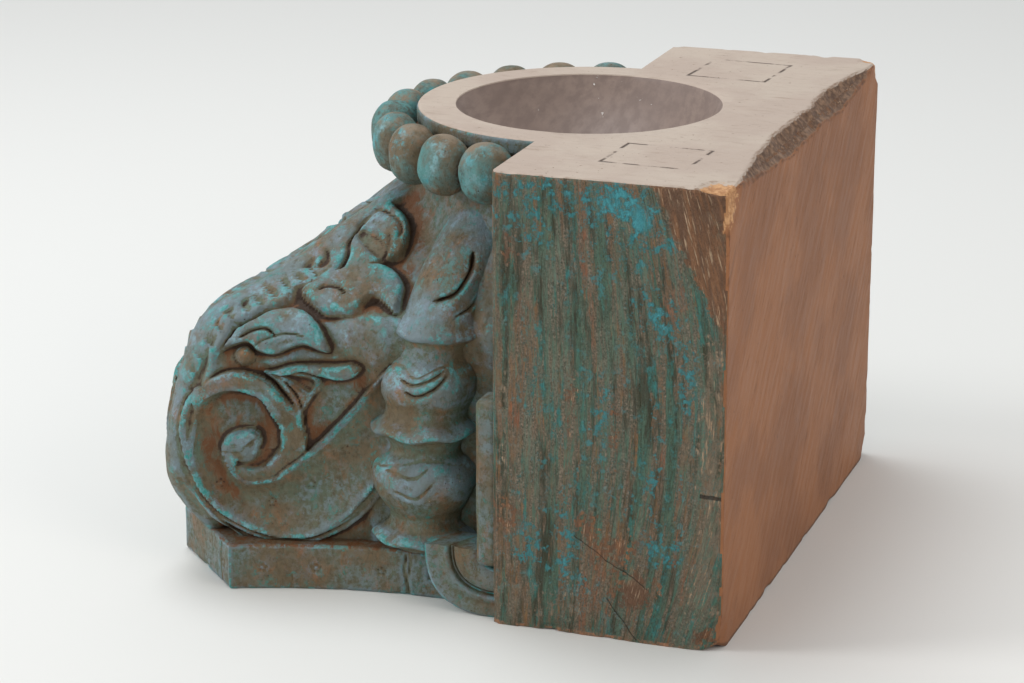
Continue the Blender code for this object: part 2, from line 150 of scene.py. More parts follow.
def toPath(path, p, q, closed=False):
    # Distance to a path, how far along it the nearest point is (0 to 1), and whether the point is inside it
    ends = np.roll(path, -1, axis=0) if closed else path[1:]
    starts = path if closed else path[:-1]
    lengths = np.hypot(*(ends - starts).T)
    before = np.concatenate([[0], np.cumsum(lengths)])
    best = np.full(p.shape, 1e9)
    place = np.zeros(p.shape)
    inside = np.zeros(p.shape, bool)
    for (ax, ay), (bx, by), length, passed in zip(starts, ends, lengths, before):
        if length == 0:
            continue
        t = np.clip(((p - ax) * (bx - ax) + (q - ay) * (by - ay)) / length ** 2, 0, 1)
        gap = np.hypot(p - ax - t * (bx - ax), q - ay - t * (by - ay))
        nearer = gap < best
        best = np.where(nearer, gap, best)
        place = np.where(nearer, (passed + t * length) / before[-1], place)
        if closed and ay != by:
            inside ^= ((ay > q) != (by > q)) & (p < ax + (q - ay) * (bx - ax) / (by - ay))
    return best, place, inside


def depthIn(points, p, q):
    # Distance inside a closed rounded outline, below zero outside it
    gap, _, inside = toPath(smoothPath(points, True), p, q, True)
    return np.where(inside, gap, -gap)


def gouge(points, p, q, width, depth):
    # A cut of the gouge that tapers to both ends
    gap, place, _ = toPath(smoothPath(points), p, q)
    wide = width * np.sqrt(np.clip(np.sin(np.pi * place), 0.02, 1))
    return -depth * np.exp(-(gap / wide) ** 2 * 1.5) * np.clip(np.sin(np.pi * place) * 2.5, 0, 1)


# Meshes: every carved piece starts as a grid that is drawn over its form

def startPiece():
    bpy.ops.object.select_all(action="DESELECT")


def drapeGrid(name, points):
    # points has rows and columns of places, one for each corner of the grid
    rows, columns = points.shape[:2]
    startPiece()
    bpy.ops.mesh.primitive_grid_add(x_subdivisions=columns - 1, y_subdivisions=rows - 1, size=1)
    piece = bpy.context.object
    piece.name = name
    piece.data.name = name
    piece.data.vertices.foreach_set("co", points.reshape(-1).astype(np.float32))
    piece.data.update()
    return piece


def gridNormals(points, wrap=True):
    if wrap:
        east = np.roll(points, -1, axis=1) - np.roll(points, 1, axis=1)
    else:
        east = np.gradient(points, axis=1)
    north = np.gradient(points, axis=0)
    normal = np.cross(east, north)
    return normal / np.maximum(np.linalg.norm(normal, axis=-1, keepdims=True), 1e-12)


def blurGrid(values, passes, wrap=True):
    for _ in range(passes):
        if wrap:
            sides = np.roll(values, 1, axis=1) + np.roll(values, -1, axis=1)
        else:
            sides = (np.concatenate([values[:, 1:], values[:, -1:]], axis=1)
                     + np.concatenate([values[:, :1], values[:, :-1]], axis=1))
        values = (2 * values + sides) / 4
        ups = np.concatenate([values[1:], values[-1:]]) + np.concatenate([values[:1], values[:-1]])
        values = (2 * values + ups) / 4
    return values


def hollowness(points, normals, passes, wrap=True):
    # Millimetres that the surface lies under the mean of its surroundings
    return np.sum((blurGrid(points, passes, wrap) - points) * normals, axis=-1) / mm


def facingOut(points, centre, wrap=True):
    # Normals of the grid, turned away from a place inside the piece
    facing = gridNormals(points, wrap)
    return facing if np.mean(np.sum(facing * (points - centre), axis=-1)) >= 0 else -facing


def setAttribute(piece, name, values):
    layer = piece.data.attributes.new(name, "FLOAT", "POINT")
    layer.data.foreach_set("value", np.asarray(values, np.float32).reshape(-1))


def closePiece(piece, smoothAngle=50):
    # Merges the seam, caps what is open and turns the faces outwards
    startPiece()
    piece.select_set(True)
    bpy.context.view_layer.objects.active = piece
    bpy.ops.object.mode_set(mode="EDIT")
    bpy.ops.mesh.select_all(action="SELECT")
    bpy.ops.mesh.remove_doubles(threshold=0.00001)
    bpy.ops.mesh.select_all(action="SELECT")
    bpy.ops.mesh.fill_holes(sides=0)
    bpy.ops.mesh.select_all(action="SELECT")
    bpy.ops.mesh.normals_make_consistent(inside=False)
    bpy.ops.object.mode_set(mode="OBJECT")
    bpy.ops.object.shade_smooth_by_angle(angle=math.radians(smoothAngle))


def drapeLoop(name, points, marks, smoothAngle, material):
    # A piece whose grid runs round it, with its marks as attributes
    piece = drapeGrid(name, np.concatenate([points, points[:, :1]], axis=1))
    for mark, values in marks.items():
        setAttribute(piece, mark, np.concatenate([values, values[:, :1]], axis=1))
    closePiece(piece, smoothAngle)
    return finishPiece(piece, material)


def finishPiece(piece, *materials):
    for material in materials:
        piece.data.materials.append(material)
    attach(piece, "root")
    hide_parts("capital")
    return piece


# Materials

def fromHex(code):
    # sRGB hex to the linear colour that a shader works in
    parts = [int(code[index:index + 2], 16) / 255 for index in (1, 3, 5)]
    return (*[part / 12.92 if part <= 0.04045 else ((part + 0.055) / 1.055) ** 2.4 for part in parts], 1.0)


def addNode(tree, kind, settings=None, links=None):
    item = tree.nodes.new(kind)
    for name, value in (settings or {}).items():
        if isinstance(name, int) or name in item.inputs:
            item.inputs[name].default_value = value
        else:
            setattr(item, name, value)
    for name, (source, output) in (links or {}).items():
        tree.links.new(source.outputs[output], item.inputs[name])
    return item


def startMaterial(name):
    material = bpy.data.materials.new(name)
    material.use_nodes = True
    tree = material.node_tree
    tree.nodes.clear()
    shader = addNode(tree, "ShaderNodeBsdfPrincipled", {"Metallic": 0.0})
    addNode(tree, "ShaderNodeOutputMaterial", {}, {"Surface": (shader, 0)})
    place = addNode(tree, "ShaderNodeTexCoord")
    return material, tree, shader, place


def layCoats(tree, first, coats):
    # Lays each (colour, mask) over what is under it
    under = addNode(tree, "ShaderNodeRGB")
    under.outputs[0].default_value = fromHex(first)
    for colour, mask in coats:
        output = 2 if under.bl_idname == "ShaderNodeMix" else 0
        under = addNode(tree, "ShaderNodeMix", {"data_type": "RGBA", 7: fromHex(colour)},
                        {0: (joinMask(tree, mask), 0), 6: (under, output)})
    return under


def addPatches(tree, place, size, low, high, detail=4.0, stretch=(1, 1, 1), shift=0.0, roughness=0.6, bend=0.0,
               turned=None):
    # Mask of soft-edged patches about size millimetres wide
    source = (place, "Object")
    if turned:
        source = (addNode(tree, "ShaderNodeMapping", {"Rotation": turned}, {"Vector": source}), 0)
    spread = addNode(tree, "ShaderNodeMapping",
                     {"Scale": stretch, "Location": (shift, shift * 0.7, shift * 1.3)}, {"Vector": source})
    noise = addNode(tree, "ShaderNodeTexNoise",
                    {"Scale": 1000 / size, "Detail": detail, "Roughness": roughness, "Distortion": bend},
                    {"Vector": (spread, 0)})
    return addNode(tree, "ShaderNodeMapRange",
                   {"From Min": low, "From Max": high, "interpolation_type": "SMOOTHSTEP"},
                   {"Value": (noise, 0)})


def readAttribute(tree, name, low, high, noise=None, amount=0.0):
    # Mask from a piece's own attribute, its edge broken up by a noise mask
    source = addNode(tree, "ShaderNodeAttribute", {"attribute_name": name})
    value = (source, "Fac")
    if noise is not None:
        shifted = addNode(tree, "ShaderNodeMath", {"operation": "SUBTRACT", 1: 0.5}, {0: (noise, 0)})
        ragged = addNode(tree, "ShaderNodeMath", {"operation": "MULTIPLY_ADD", 1: amount},
                         {0: (shifted, 0), 2: value})
        value = (ragged, 0)
    return addNode(tree, "ShaderNodeMapRange",
                   {"From Min": low, "From Max": high, "interpolation_type": "SMOOTHSTEP"}, {"Value": value})


# How a mask is joined from two others: where both hold, or where either does
inBoth = "MULTIPLY"
inEither = "MAXIMUM"


def joinMask(tree, mask):
    # A mask is a node, or a way of joining and two masks
    if not isinstance(mask, tuple):
        return mask
    way, first, second = mask
    return addNode(tree, "ShaderNodeMath", {"operation": way},
                   {0: (joinMask(tree, first), 0), 1: (joinMask(tree, second), 0)})


def addBumps(tree, shader, bumps):
    # Each bump is (height node, depth in millimetres)
    normal = None
    for height, depth in bumps:
        links = {"Height": (height, 0)}
        if normal is not None:
            links["Normal"] = (normal, 0)
        normal = addNode(tree, "ShaderNodeBump", {"Strength": 1.0, "Distance": depth * mm}, links)
    tree.links.new(normal.outputs[0], shader.inputs["Normal"])


def makeCarvedPaint(name, tints):
    # Thin old oil paint on carved teak: greyed blue paint with painted highlight is laid on what stands out and
    # faces up, and brown wood, dirt and painted shade fill every hollow and crease
    material, tree, shader, place = startMaterial(name)
    grain = addPatches(tree, place, 2.6, 0.30, 0.70, 5, (1, 1, 0.4), roughness=0.7)
    flecks = addPatches(tree, place, 3.2, 0.38, 0.66, 6, roughness=0.75, shift=3)
    streaks = addPatches(tree, place, 7, 0.44, 0.64, 6, (1, 1, 0.5), shift=7, roughness=0.75, bend=0.6)
    clouds = addPatches(tree, place, 34, 0.38, 0.62, 5, shift=17, roughness=0.6)
    blots = addPatches(tree, place, 17, 0.48, 0.62, 6, shift=11, roughness=0.7)
    warm = addPatches(tree, place, 22, 0.46, 0.60, 6, shift=31, roughness=0.65)
    green = addPatches(tree, place, 15, 0.49, 0.57, 8, shift=41, roughness=0.8)
    specks = addPatches(tree, place, 1.8, 0.70, 0.76, 3, shift=5)
    pits = addPatches(tree, place, 2.2, 0.33, 0.28, 3, shift=15)
    pitZone = addPatches(tree, place, 30, 0.48, 0.58, 4, shift=19)
    # raised and edges read the hollow attribute, which also counts upward faces as raised: the paler coats laid on
    # them are partly painted highlight
    raised = readAttribute(tree, "hollow", 0.08, -0.20, flecks, 0.25)
    edges = readAttribute(tree, "hollow", -0.22, -0.60, streaks, 0.45)
    # Painted shade: the broad hollows take a dark brown, partly bare wood and partly shade
    sunkWoodAndShade = readAttribute(tree, "deep", 0.25, 0.90, streaks, 0.5)
    # Painted shade: the creases take the darkest brown, partly dirt and partly shade
    cracks = readAttribute(tree, "hollow", 0.28, 0.75, flecks, 0.22)
    paint = layCoats(tree, tints["wood"], [
        (tints["glaze"], clouds),
        (tints["warm"], (inBoth, warm, streaks)),
        (tints["grain"], (inBoth, grain, flecks)),
        (tints["paint"], (inBoth, raised, clouds)),
        (tints["pale"], (inBoth, raised, (inBoth, blots, flecks))),
        (tints["turquoise"], (inBoth, green, (inEither, (inBoth, flecks, streaks), edges))),
        (tints["edge"], (inBoth, edges, (inBoth, flecks, (inEither, blots, green)))),
        (tints["sunkWoodAndShade"], sunkWoodAndShade),
        (tints["dirtAndCreaseShade"], cracks),
        (tints["dust"], (inBoth, specks, raised)),
        (tints["dirtAndCreaseShade"], (inBoth, pits, pitZone)),
    ])
    if "rubbed" in tints:
        worn = joinMask(tree, (inBoth, readAttribute(tree, "rubbed", 0.30, 0.95, flecks, 0.6), warm))
        paint = addNode(tree, "ShaderNodeMix", {"data_type": "RGBA", 7: fromHex(tints["rubbed"])},
                        {0: (worn, 0), 6: (paint, 2)})
    tree.links.new(paint.outputs[2], shader.inputs["Base Color"])
    rough = addNode(tree, "ShaderNodeMapRange", {"To Min": 0.50, "To Max": 0.72}, {"Value": (flecks, 0)})
    tree.links.new(rough.outputs[0], shader.inputs["Roughness"])
    shader.inputs["Specular IOR Level"].default_value = 0.4
    addBumps(tree, shader, [(grain, 0.12), (flecks, 0.18), (pits, -0.35), (streaks, 0.12)])
    return material


def makeFacePaint():
    # Old green oil paint scrubbed in streaks down to the teak on the block's sides
    material, tree, shader, place = startMaterial("scrubbedGreenPaintOnTeak")
    split = addNode(tree, "ShaderNodeSeparateXYZ", {}, {0: (place, "Object")})
    # The scrub marks bow outwards: their shift grows with the square of the height off the middle
    rise = addNode(tree, "ShaderNodeMath", {"operation": "SUBTRACT", 1: 0.129}, {0: (split, "Z")})
    square = addNode(tree, "ShaderNodeMath", {"operation": "MULTIPLY"}, {0: (rise, 0), 1: (rise, 0)})
    lean = addNode(tree, "ShaderNodeMapRange",
                   {"From Min": blockFront + 0.02, "From Max": blockBack, "To Min": 0.05, "To Max": 1.9},
                   {"Value": (split, "Y")})
    bow = addNode(tree, "ShaderNodeMath", {"operation": "MULTIPLY"}, {0: (square, 0), 1: (lean, 0)})
    shifted = addNode(tree, "ShaderNodeMath", {"operation": "ADD"}, {0: (split, "Y"), 1: (bow, 0)})
    flatZ = addNode(tree, "ShaderNodeMath", {"operation": "MULTIPLY", 1: 0.10}, {0: (split, "Z")})
    streaked = addNode(tree, "ShaderNodeCombineXYZ", {},
                       {"X": (split, "X"), "Y": (shifted, 0), "Z": (flatZ, 0)})

    def addStreaks(size, low, high, shift, roughness=0.6, detail=5.0):
        moved = addNode(tree, "ShaderNodeMapping", {"Location": (shift, shift, shift)},
                        {"Vector": (streaked, 0)})
        noise = addNode(tree, "ShaderNodeTexNoise",
                        {"Scale": 1000 / size, "Detail": detail, "Roughness": roughness},
                        {"Vector": (moved, 0)})
        return addNode(tree, "ShaderNodeMapRange",
                       {"From Min": low, "From Max": high, "interpolation_type": "SMOOTHSTEP"},
                       {"Value": (noise, 0)})

    wide = addStreaks(12, 0.42, 0.60, 2)
    narrow = addStreaks(4.5, 0.44, 0.60, 5, 0.7)
    fine = addStreaks(1.5, 0.40, 0.62, 9, 0.75)
    dark = addStreaks(8, 0.49, 0.57, 13, 0.7)
    worn = addStreaks(7, 0.49, 0.56, 23, 0.72)
    scratches = addStreaks(1.1, 0.58, 0.66, 19, 0.55, 3)
    weave = addPatches(tree, place, 1.3, 0.40, 0.60, 3, roughness=0.8, shift=2)
    flecks = addPatches(tree, place, 5, 0.44, 0.60, 6, roughness=0.78)
    clouds = addPatches(tree, place, 34, 0.42, 0.60, 6, roughness=0.68, shift=4)
    blots = addPatches(tree, place, 16, 0.48, 0.58, 7, (1, 1, 0.6), roughness=0.75, shift=8)
    rusty = addPatches(tree, place, 26, 0.52, 0.62, 7, (1, 1, 0.5), roughness=0.72, shift=12)
    turquoise = readAttribute(tree, "turquoise", 0.34, 0.62, flecks, 0.9)
    brightest = readAttribute(tree, "turquoise", 0.72, 1.0, flecks, 0.6)
    bare = readAttribute(tree, "bareWood", 0.40, 0.60, flecks, 0.5)
    rubbed = readAttribute(tree, "rubbed", 0.30, 0.75, flecks, 0.5)
    edgeWear = readAttribute(tree, "hollow", -0.10, -0.30, flecks, 0.30)
    cracks = addCrack(tree, place, sideCracks[0])
    for crack in sideCracks[1:]:
        cracks = joinMask(tree, (inEither, cracks, addCrack(tree, place, crack)))
    paint = layCoats(tree, "#4f6a58", [
        ("#6b7866", (inBoth, wide, clouds)),
        ("#3a3b28", dark),
        ("#3f7367", (inBoth, narrow, blots)),
        ("#80603f", (inBoth, worn, (inEither, clouds, narrow))),
        ("#8a5a3f", (inBoth, worn, (inEither, rusty, fine))),
        ("#8a7c6a", (inBoth, fine, (inEither, worn, wide))),
        ("#45493a", (inBoth, weave, fine)),
        ("#3f7f7b", (inBoth, flecks, (inBoth, narrow, blots))),
        ("#3d8083", (inBoth, turquoise, (inEither, wide, flecks))),
        ("#489ba4", (inBoth, brightest, (inEither, weave, wide))),
        ("#80705c", (inBoth, rubbed, (inEither, weave, fine))),
        ("#6d4e38", bare),
        ("#8c6447", (inBoth, bare, narrow)),
        ("#b3977a", (inBoth, scratches, (inEither, bare, rubbed))),
        ("#a8795a", (inBoth, edgeWear, flecks)),
        ("#231a13", cracks),
    ])
    tree.links.new(paint.outputs[2], shader.inputs["Base Color"])
    rough = addNode(tree, "ShaderNodeMapRange", {"To Min": 0.5, "To Max": 0.8}, {"Value": (narrow, 0)})
    tree.links.new(rough.outputs[0], shader.inputs["Roughness"])
    shader.inputs["Specular IOR Level"].default_value = 0.35
    addBumps(tree, shader, [(wide, 0.35), (narrow, 0.3), (fine, 0.25), (weave, 0.12), (flecks, 0.25),
                            (cracks, -0.6)])
    return material


def makeBareTeak(name, base, darker, paler, rougher, sheen, grainWay, grainTurn, lineShare, scribed=False):
    # Unpainted weathered teak, smoothed by handling: even colour with soft clouds and fine grain lines
    material, tree, shader, place = startMaterial(name)
    grain = addPatches(tree, place, 5.0, 0.35, 0.65, 6, grainWay, turned=grainTurn)
    lines = addPatches(tree, place, 1.6, 0.56, 0.70, 3, grainWay, shift=3, turned=grainTurn)
    clouds = addPatches(tree, place, 60, 0.40, 0.62, 4, shift=6)
    stains = addPatches(tree, place, 40, 0.52, 0.70, 6, shift=9, roughness=0.6)
    smudges = addPatches(tree, place, 14, 0.60, 0.72, 6, grainWay, shift=19, roughness=0.7, turned=grainTurn)
    pits = addPatches(tree, place, 2.4, 0.30, 0.26, 2, shift=12)
    flecks = addPatches(tree, place, 4, 0.42, 0.62, 6, roughness=0.75, shift=14)
    faint = addNode(tree, "ShaderNodeMath", {"operation": "MULTIPLY", 1: lineShare}, {0: (lines, 0)})
    soft = addNode(tree, "ShaderNodeMath", {"operation": "MULTIPLY", 1: 0.5}, {0: (smudges, 0)})
    edges = readAttribute(tree, "hollow", -0.20, -0.60, flecks, 0.25)
    rough = readAttribute(tree, "broken", 0.35, 0.65, flecks, 0.5)
    fresh = readAttribute(tree, "fresh", 0.35, 0.65, flecks, 0.5)
    coats = [
        (paler, clouds),
        (darker, (inBoth, stains, soft)),
        (darker, (inBoth, grain, faint)),
        (darker, soft),
        (darker, pits),
        (darker, edges),
        ("#573e2d", rough),
        ("#8a6b52", (inBoth, rough, flecks)),
        ("#a9774c", fresh),
        ("#cf9f70", (inBoth, fresh, flecks)),
    ]
    bumps = [(grain, 0.12), (lines, -0.15), (pits, -0.3), (flecks, 0.06)]
    if scribed:
        for mark in scribedMortises:
            lined = addMortise(tree, place, mark)
            coats.append(("#4a3a2e", lined))
            bumps.append((lined, -0.6))
    wood = layCoats(tree, base, coats)
    tree.links.new(wood.outputs[2], shader.inputs["Base Color"])
    dull = addNode(tree, "ShaderNodeMapRange", {"To Min": rougher - sheen, "To Max": rougher},
                   {"Value": (grain, 0)})
    tree.links.new(dull.outputs[0], shader.inputs["Roughness"])
    shader.inputs["Specular IOR Level"].default_value = 0.4
    addBumps(tree, shader, bumps)
    return material


# Cracks in the painted side: middle in Y and Z, turn from upright, half length and half width in metres
sideCracks = (
    {"at": (0.1045, 0.0435), "turn": math.radians(58), "half": (0.024, 0.00005)},
    {"at": (0.1110, 0.0120), "turn": math.radians(38), "half": (0.0135, 0.00015)},
    {"at": (0.1590, 0.0862), "turn": math.radians(88), "half": (0.0065, 0.0009)},
)

# Two mortises that were scribed on the top and never cut: middle, turn and half sizes in metres
scribedMortises = (
    {"at": (0.1085, 0.1094), "turn": math.radians(-3), "half": (0.0215, 0.0235)},
    {"at": (-0.1095, 0.0945), "turn": math.radians(-4), "half": (0.0245, 0.0235)},
)


def boxGap(tree, local, axes, halves):
    # How far a place lies outside a rectangle with these half sizes
    split = addNode(tree, "ShaderNodeSeparateXYZ", {}, {0: (local, 0)})
    sides = []
    for axis, half in zip(axes, halves):
        size = addNode(tree, "ShaderNodeMath", {"operation": "ABSOLUTE"}, {0: (split, axis)})
        sides.append(addNode(tree, "ShaderNodeMath", {"operation": "SUBTRACT", 1: half}, {0: (size, 0)}))
    return addNode(tree, "ShaderNodeMath", {"operation": "MAXIMUM"}, {0: (sides[0], 0), 1: (sides[1], 0)})


def addCrack(tree, place, crack):
    # A thin dark line across the side, with a slight wander
    wander = addNode(tree, "ShaderNodeTexNoise", {"Scale": 90.0, "Detail": 3.0}, {"Vector": (place, "Object")})
    shifted = addNode(tree, "ShaderNodeVectorMath", {"operation": "SUBTRACT", 1: (0.5, 0.5, 0.5)},
                      {0: (wander, 1)})
    moved = addNode(tree, "ShaderNodeVectorMath", {"operation": "MULTIPLY_ADD", 1: (0.004, 0.004, 0.004)},
                    {0: (shifted, 0), 2: (place, "Object")})
    local = addNode(tree, "ShaderNodeMapping",
                    {"vector_type": "TEXTURE", "Location": (0, *crack["at"]), "Rotation": (crack["turn"], 0, 0)},
                    {"Vector": (moved, 0)})
    gap = boxGap(tree, local, "ZY", crack["half"])
    return addNode(tree, "ShaderNodeMapRange", {"From Min": 0.3 * mm, "From Max": 0.0, "To Max": 0.8},
                   {"Value": (gap, 0)})


def addMortise(tree, place, mark):
    # A scratched rectangle, its lines broken where the scriber skipped
    local = addNode(tree, "ShaderNodeMapping",
                    {"vector_type": "TEXTURE", "Location": (*mark["at"], 0), "Rotation": (0, 0, mark["turn"])},
                    {"Vector": (place, "Object")})
    edge = boxGap(tree, local, "XY", mark["half"])
    gap = addNode(tree, "ShaderNodeMath", {"operation": "ABSOLUTE"}, {0: (edge, 0)})
    line = addNode(tree, "ShaderNodeMapRange", {"From Min": 1.3 * mm, "From Max": 0.3 * mm}, {"Value": (gap, 0)})
    return joinMask(tree, (inBoth, line, addPatches(tree, place, 12, 0.40, 0.56, 4, shift=40)))


def makeBowlWood():
    # Teak in the bowl, darkened and polished by oil and wax, with drops of pale wax left in it
    material, tree, shader, place = startMaterial("oiledTeakBowl")
    grain = addPatches(tree, place, 6, 0.35, 0.65, 5, (0.3, 1, 1))
    clouds = addPatches(tree, place, 40, 0.40, 0.62, 4, shift=3)
    drops = addPatches(tree, place, 5, 0.70, 0.73, 2, shift=8)
    dropZone = addPatches(tree, place, 45, 0.52, 0.60, 2, shift=17)
    wax = joinMask(tree, (inBoth, drops, dropZone))
    wood = layCoats(tree, "#806d63", [("#877469", clouds), ("#77655c", grain), ("#d8d2cc", wax)])
    tree.links.new(wood.outputs[2], shader.inputs["Base Color"])
    dull = addNode(tree, "ShaderNodeMapRange", {"To Min": 0.50, "To Max": 0.58}, {"Value": (grain, 0)})
    tree.links.new(dull.outputs[0], shader.inputs["Roughness"])
    addBumps(tree, shader, [(grain, 0.05), (wax, 0.4)])
    return material


# The pale, paint and edge tints lie partly as painted highlight on raised parts, edges and tops; the two darkest
# browns lie partly as painted shade in hollows and creases
carvedTints = {"wood": "#6a5c44", "glaze": "#5c6a58", "warm": "#86603f", "grain": "#554b38", "paint": "#6e7c80",
               "pale": "#8c9aaa", "turquoise": "#2f8a84", "edge": "#78a9ae", "sunkWoodAndShade": "#6b4425", "dirtAndCreaseShade": "#3a2819",
               "dust": "#b5a384"}
beadTints = {**carvedTints, "glaze": "#4d6a66", "paint": "#508784", "pale": "#86a9ae", "turquoise": "#35949c",
             "rubbed": "#857560"}
carvedPaint = makeCarvedPaint("wornLimewashOnCarvedTeak", carvedTints)
beadPaint = makeCarvedPaint("rubbedTurquoiseOnBeads", beadTints)
facePaint = makeFacePaint()
topWood = makeBareTeak("weatheredTeakTop", "#b5a395", "#8f7764", "#bcac9d", 0.72, 0.12, (1, 0.15, 1), None, 0.35,
                       True)
backWood = makeBareTeak("handledTeakBack", "#8b5a38", "#68432a", "#9a653f", 0.66, 0.14, (1, 1, 0.12),
                        (0, math.radians(42), 0), 0.6)
bowlWood = makeBowlWood()
print("materials done")


def bowlHeight(beside):
    # Height of the bowl's skin at a distance from its axis; the bowl is a cap of a ball
    ball = (billet["bowlRadius"] ** 2 + billet["bowlDepth"] ** 2) / (2 * billet["bowlDepth"])
    return topZ - (np.sqrt(ball ** 2 - beside ** 2) - (ball - billet["bowlDepth"]))


# The carved bell and its corner scrolls, in two halves that meet in the middle plane

bell = {
    "spine": ((0.09, 0.90), (0.16, 0.958), (0.21, 0.990), (0.27, 1.0), (0.36, 0.988), (0.43, 0.969), (0.50, 0.944),
              (0.56, 0.912), (0.61, 0.860), (0.66, 0.740), (0.71, 0.625), (0.77, 0.515), (0.81, 0.43), (0.85, 0.33),
              (0.92, 0.25)),
    "swell": ((0.09, 0.0), (0.30, 0.03), (0.50, 0.16), (0.62, 0.30), (0.70, 0.50), (0.78, 0.86), (0.84, 1.0),
              (0.92, 1.0)),
    "low": 0.020,
    "high": 0.2208,
    "rows": 250,
    "columns": 372,
    "columnsToSpine": 0.47,  # share of them between the front and the spine
    "hiddenSpacing": 0.12,  # weight of a length that the block hides when columns are shared out
    "intoBlock": 0.012,
    "underBowl": 0.003,
    "handWobble": ((0.013, 3, 0.45), (0.0045, 5, 0.22)),  # lump size, seed and millimetres
}

# Millimetres from the scroll's eye: the radii of its channel and rim at each eighth of a turn inwards
scroll = {
    "channelOuter": (80, 63.5, 42, 31.5, 30, 35, 34.8, 26.4, 20.6, 14.8, 11.3),
    "channelInner": (37, 23.5, 17.5, 12.8, 11, 10.7, 11, 13.2, 10, 9, 8),
    "rim": (83, 65.7, 44.5, 33.5, 31.2, 37.7, 45.2, 39.6, 36),
    "tailInner": ((8, -19), (21, -14), (33, -4), (44, 6), (55, 17), (73, 38), (86, 52)),
    "tailOuter": ((32, -51), (49, -44), (62, -33), (73, -20), (81, -4), (88, 14), (94, 34)),
    "innerEdge": ((0, 0.6), (1, 0.5), (2, -1.0), (3, -3.5), (4, -4.5), (8, -4.5), (10, -3.0)),
    "floor": ((0, -4.6), (1, -5.6), (2, -6.4), (3, -6.4), (4, -6.2), (5, -6.8), (6, -7.8), (7, -7.4), (8, -6.6),
              (9, -5.4), (10, -3.6)),
    "outerEdge": ((0, 0.4), (1, 0.9), (3, 1.0), (7, 1.2), (8, -1.4), (9, -2.0), (10, -2.8)),
    "lowAt": ((0, 0.36), (2, 0.38), (4, 0.42), (5, 0.50), (6, 0.66), (7, 0.70), (8, 0.6), (10, 0.5)),
    "steep": ((0, 1.9), (2, 1.9), (4, 2.0), (5, 2.4), (6, 5.0), (7, 6.0), (8, 4.0), (10, 2.5)),
}

# Outlines of the leaf's lobes in millimetres back and up from the eye
lobes = {
    "first": ((64, 89), (77, 98), (86, 107), (98, 115), (111, 122), (118, 125), (121, 120), (117, 111), (109, 103),
              (101, 101), (91, 97), (77, 92)),
    "second": ((46, 85), (59, 91), (73, 96), (87, 99), (98, 99), (103, 95), (101, 88), (92, 80), (86, 85), (80, 84),
               (69, 79), (56, 77), (50, 79)),
    "third": ((-8, 57), (2, 68), (16, 75), (31, 79), (42, 79), (47, 74), (49, 66), (51, 57), (46, 57), (37, 60),
              (29, 58), (19, 54), (11, 56), (6, 61)),
    "fourth": ((14, 45), (21, 46), (30, 49), (41, 50), (53, 50), (61, 51), (67, 48), (64, 43), (54, 41), (43, 43),
               (35, 45), (25, 42)),
}
leafEdge = ((-36, 6), (-30, 24), (-20, 40), (-8, 57), (2, 68), (16, 75), (31, 79), (46, 85), (64, 90), (77, 98),
            (98, 115), (118, 125), (128, 140), (40, 190), (-60, 150), (-70, 0))
stem = ((12, 46), (24, 46), (36, 47), (45, 42), (41, 31), (36, 22), (35, 12), (31, 20), (25, 32), (18, 40))
teardrop = ((24, 43), (34, 44), (42, 42), (44, 36), (39, 32), (32, 36))
panel = ((63, 80), (78, 82), (84, 73), (83, 57), (74, 48), (60, 52), (55, 66))

# Cuts of the gouge across leaf and spine: path, width and depth in millimetres
cuts = (
    (((55, 85), (61, 87.5), (67, 87), (69, 83)), 1.1, 2.4),
    (((2, 63), (10, 67), (19, 68.5), (24, 64)), 1.2, 2.6),
    (((8, 57), (18, 63), (30, 66), (40, 64)), 0.8, 1.2),
    (((88, 110), (100, 117), (111, 121), (116, 116), (110, 109)), 1.3, 2.4),
    (((96, 100), (104, 106), (108, 113)), 0.9, 1.4),
    (((10, 79), (5, 76), (-1, 73)), 1.3, 2.8),
    (((21, 83), (17, 80), (11, 77)), 1.2, 2.4),
    (((68, 102), (62, 97), (54, 93)), 1.3, 2.8),
    (((73, 103), (70, 98), (62, 94)), 1.2, 2.4),
    (((36, 89), (44, 90), (52, 94)), 1.0, 1.6),
    (((84, 110), (92, 119), (104, 127)), 1.2, 2.0),
    (((-10, 62), (0, 73), (14, 81), (30, 86)), 0.9, 1.3),
    (((24, 42), (31, 33), (35, 22), (35.5, 13)), 0.9, 2.0),
    (((17, 43), (25, 35), (31, 25)), 0.6, 1.0),
)
notchRow = ((-33, 14), (-29, 27), (-26, 36), (-21, 46), (-14, 55), (-4, 65), (4, 71), (18, 79), (36, 86), (58, 93))
channelStars = ((-13, -22), (15, -32), (38, -20), (58, 1))


def groundField(across, ahead, height):
    # Below zero inside the plain bell and arms that the carving is cut from
    share = height / billet["height"]
    lean = (blockFront - axisY - billet["topShift"]) * smoothStep(0.45, 0.85, share)
    swell = along(bell["swell"], share)
    bellRadius = billet["footRadius"] + (billet["neckRadius"] - billet["footRadius"]) * swell
    bellGap = np.hypot(across, ahead - lean) - bellRadius
    out = (across - ahead) / math.sqrt(2)
    off = np.abs(across + ahead) / math.sqrt(2)
    reach = billet["reach"] * along(bell["spine"], share)
    wallReach = billet["reach"] + (reach - billet["reach"]) * smoothStep(0.40, 0.66, share)
    slope = math.tan(billet["spread"]) + 0.25 * smoothStep(0.45, 0.72, share)
    tip = billet["tipHalfWidth"]
    wall = (off - tip - slope * (wallReach - out)) / np.sqrt(1 + slope ** 2)
    crown = 0.35 * tip * np.minimum(off / tip, 1.25) ** 2
    rounding = tip * (0.25 + 1.6 * smoothStep(0.50, 0.68, share))
    arm = -softLeast(-wall, reach - out - crown, rounding)
    return softLeast(arm, bellGap, 0.030 * billet["height"])


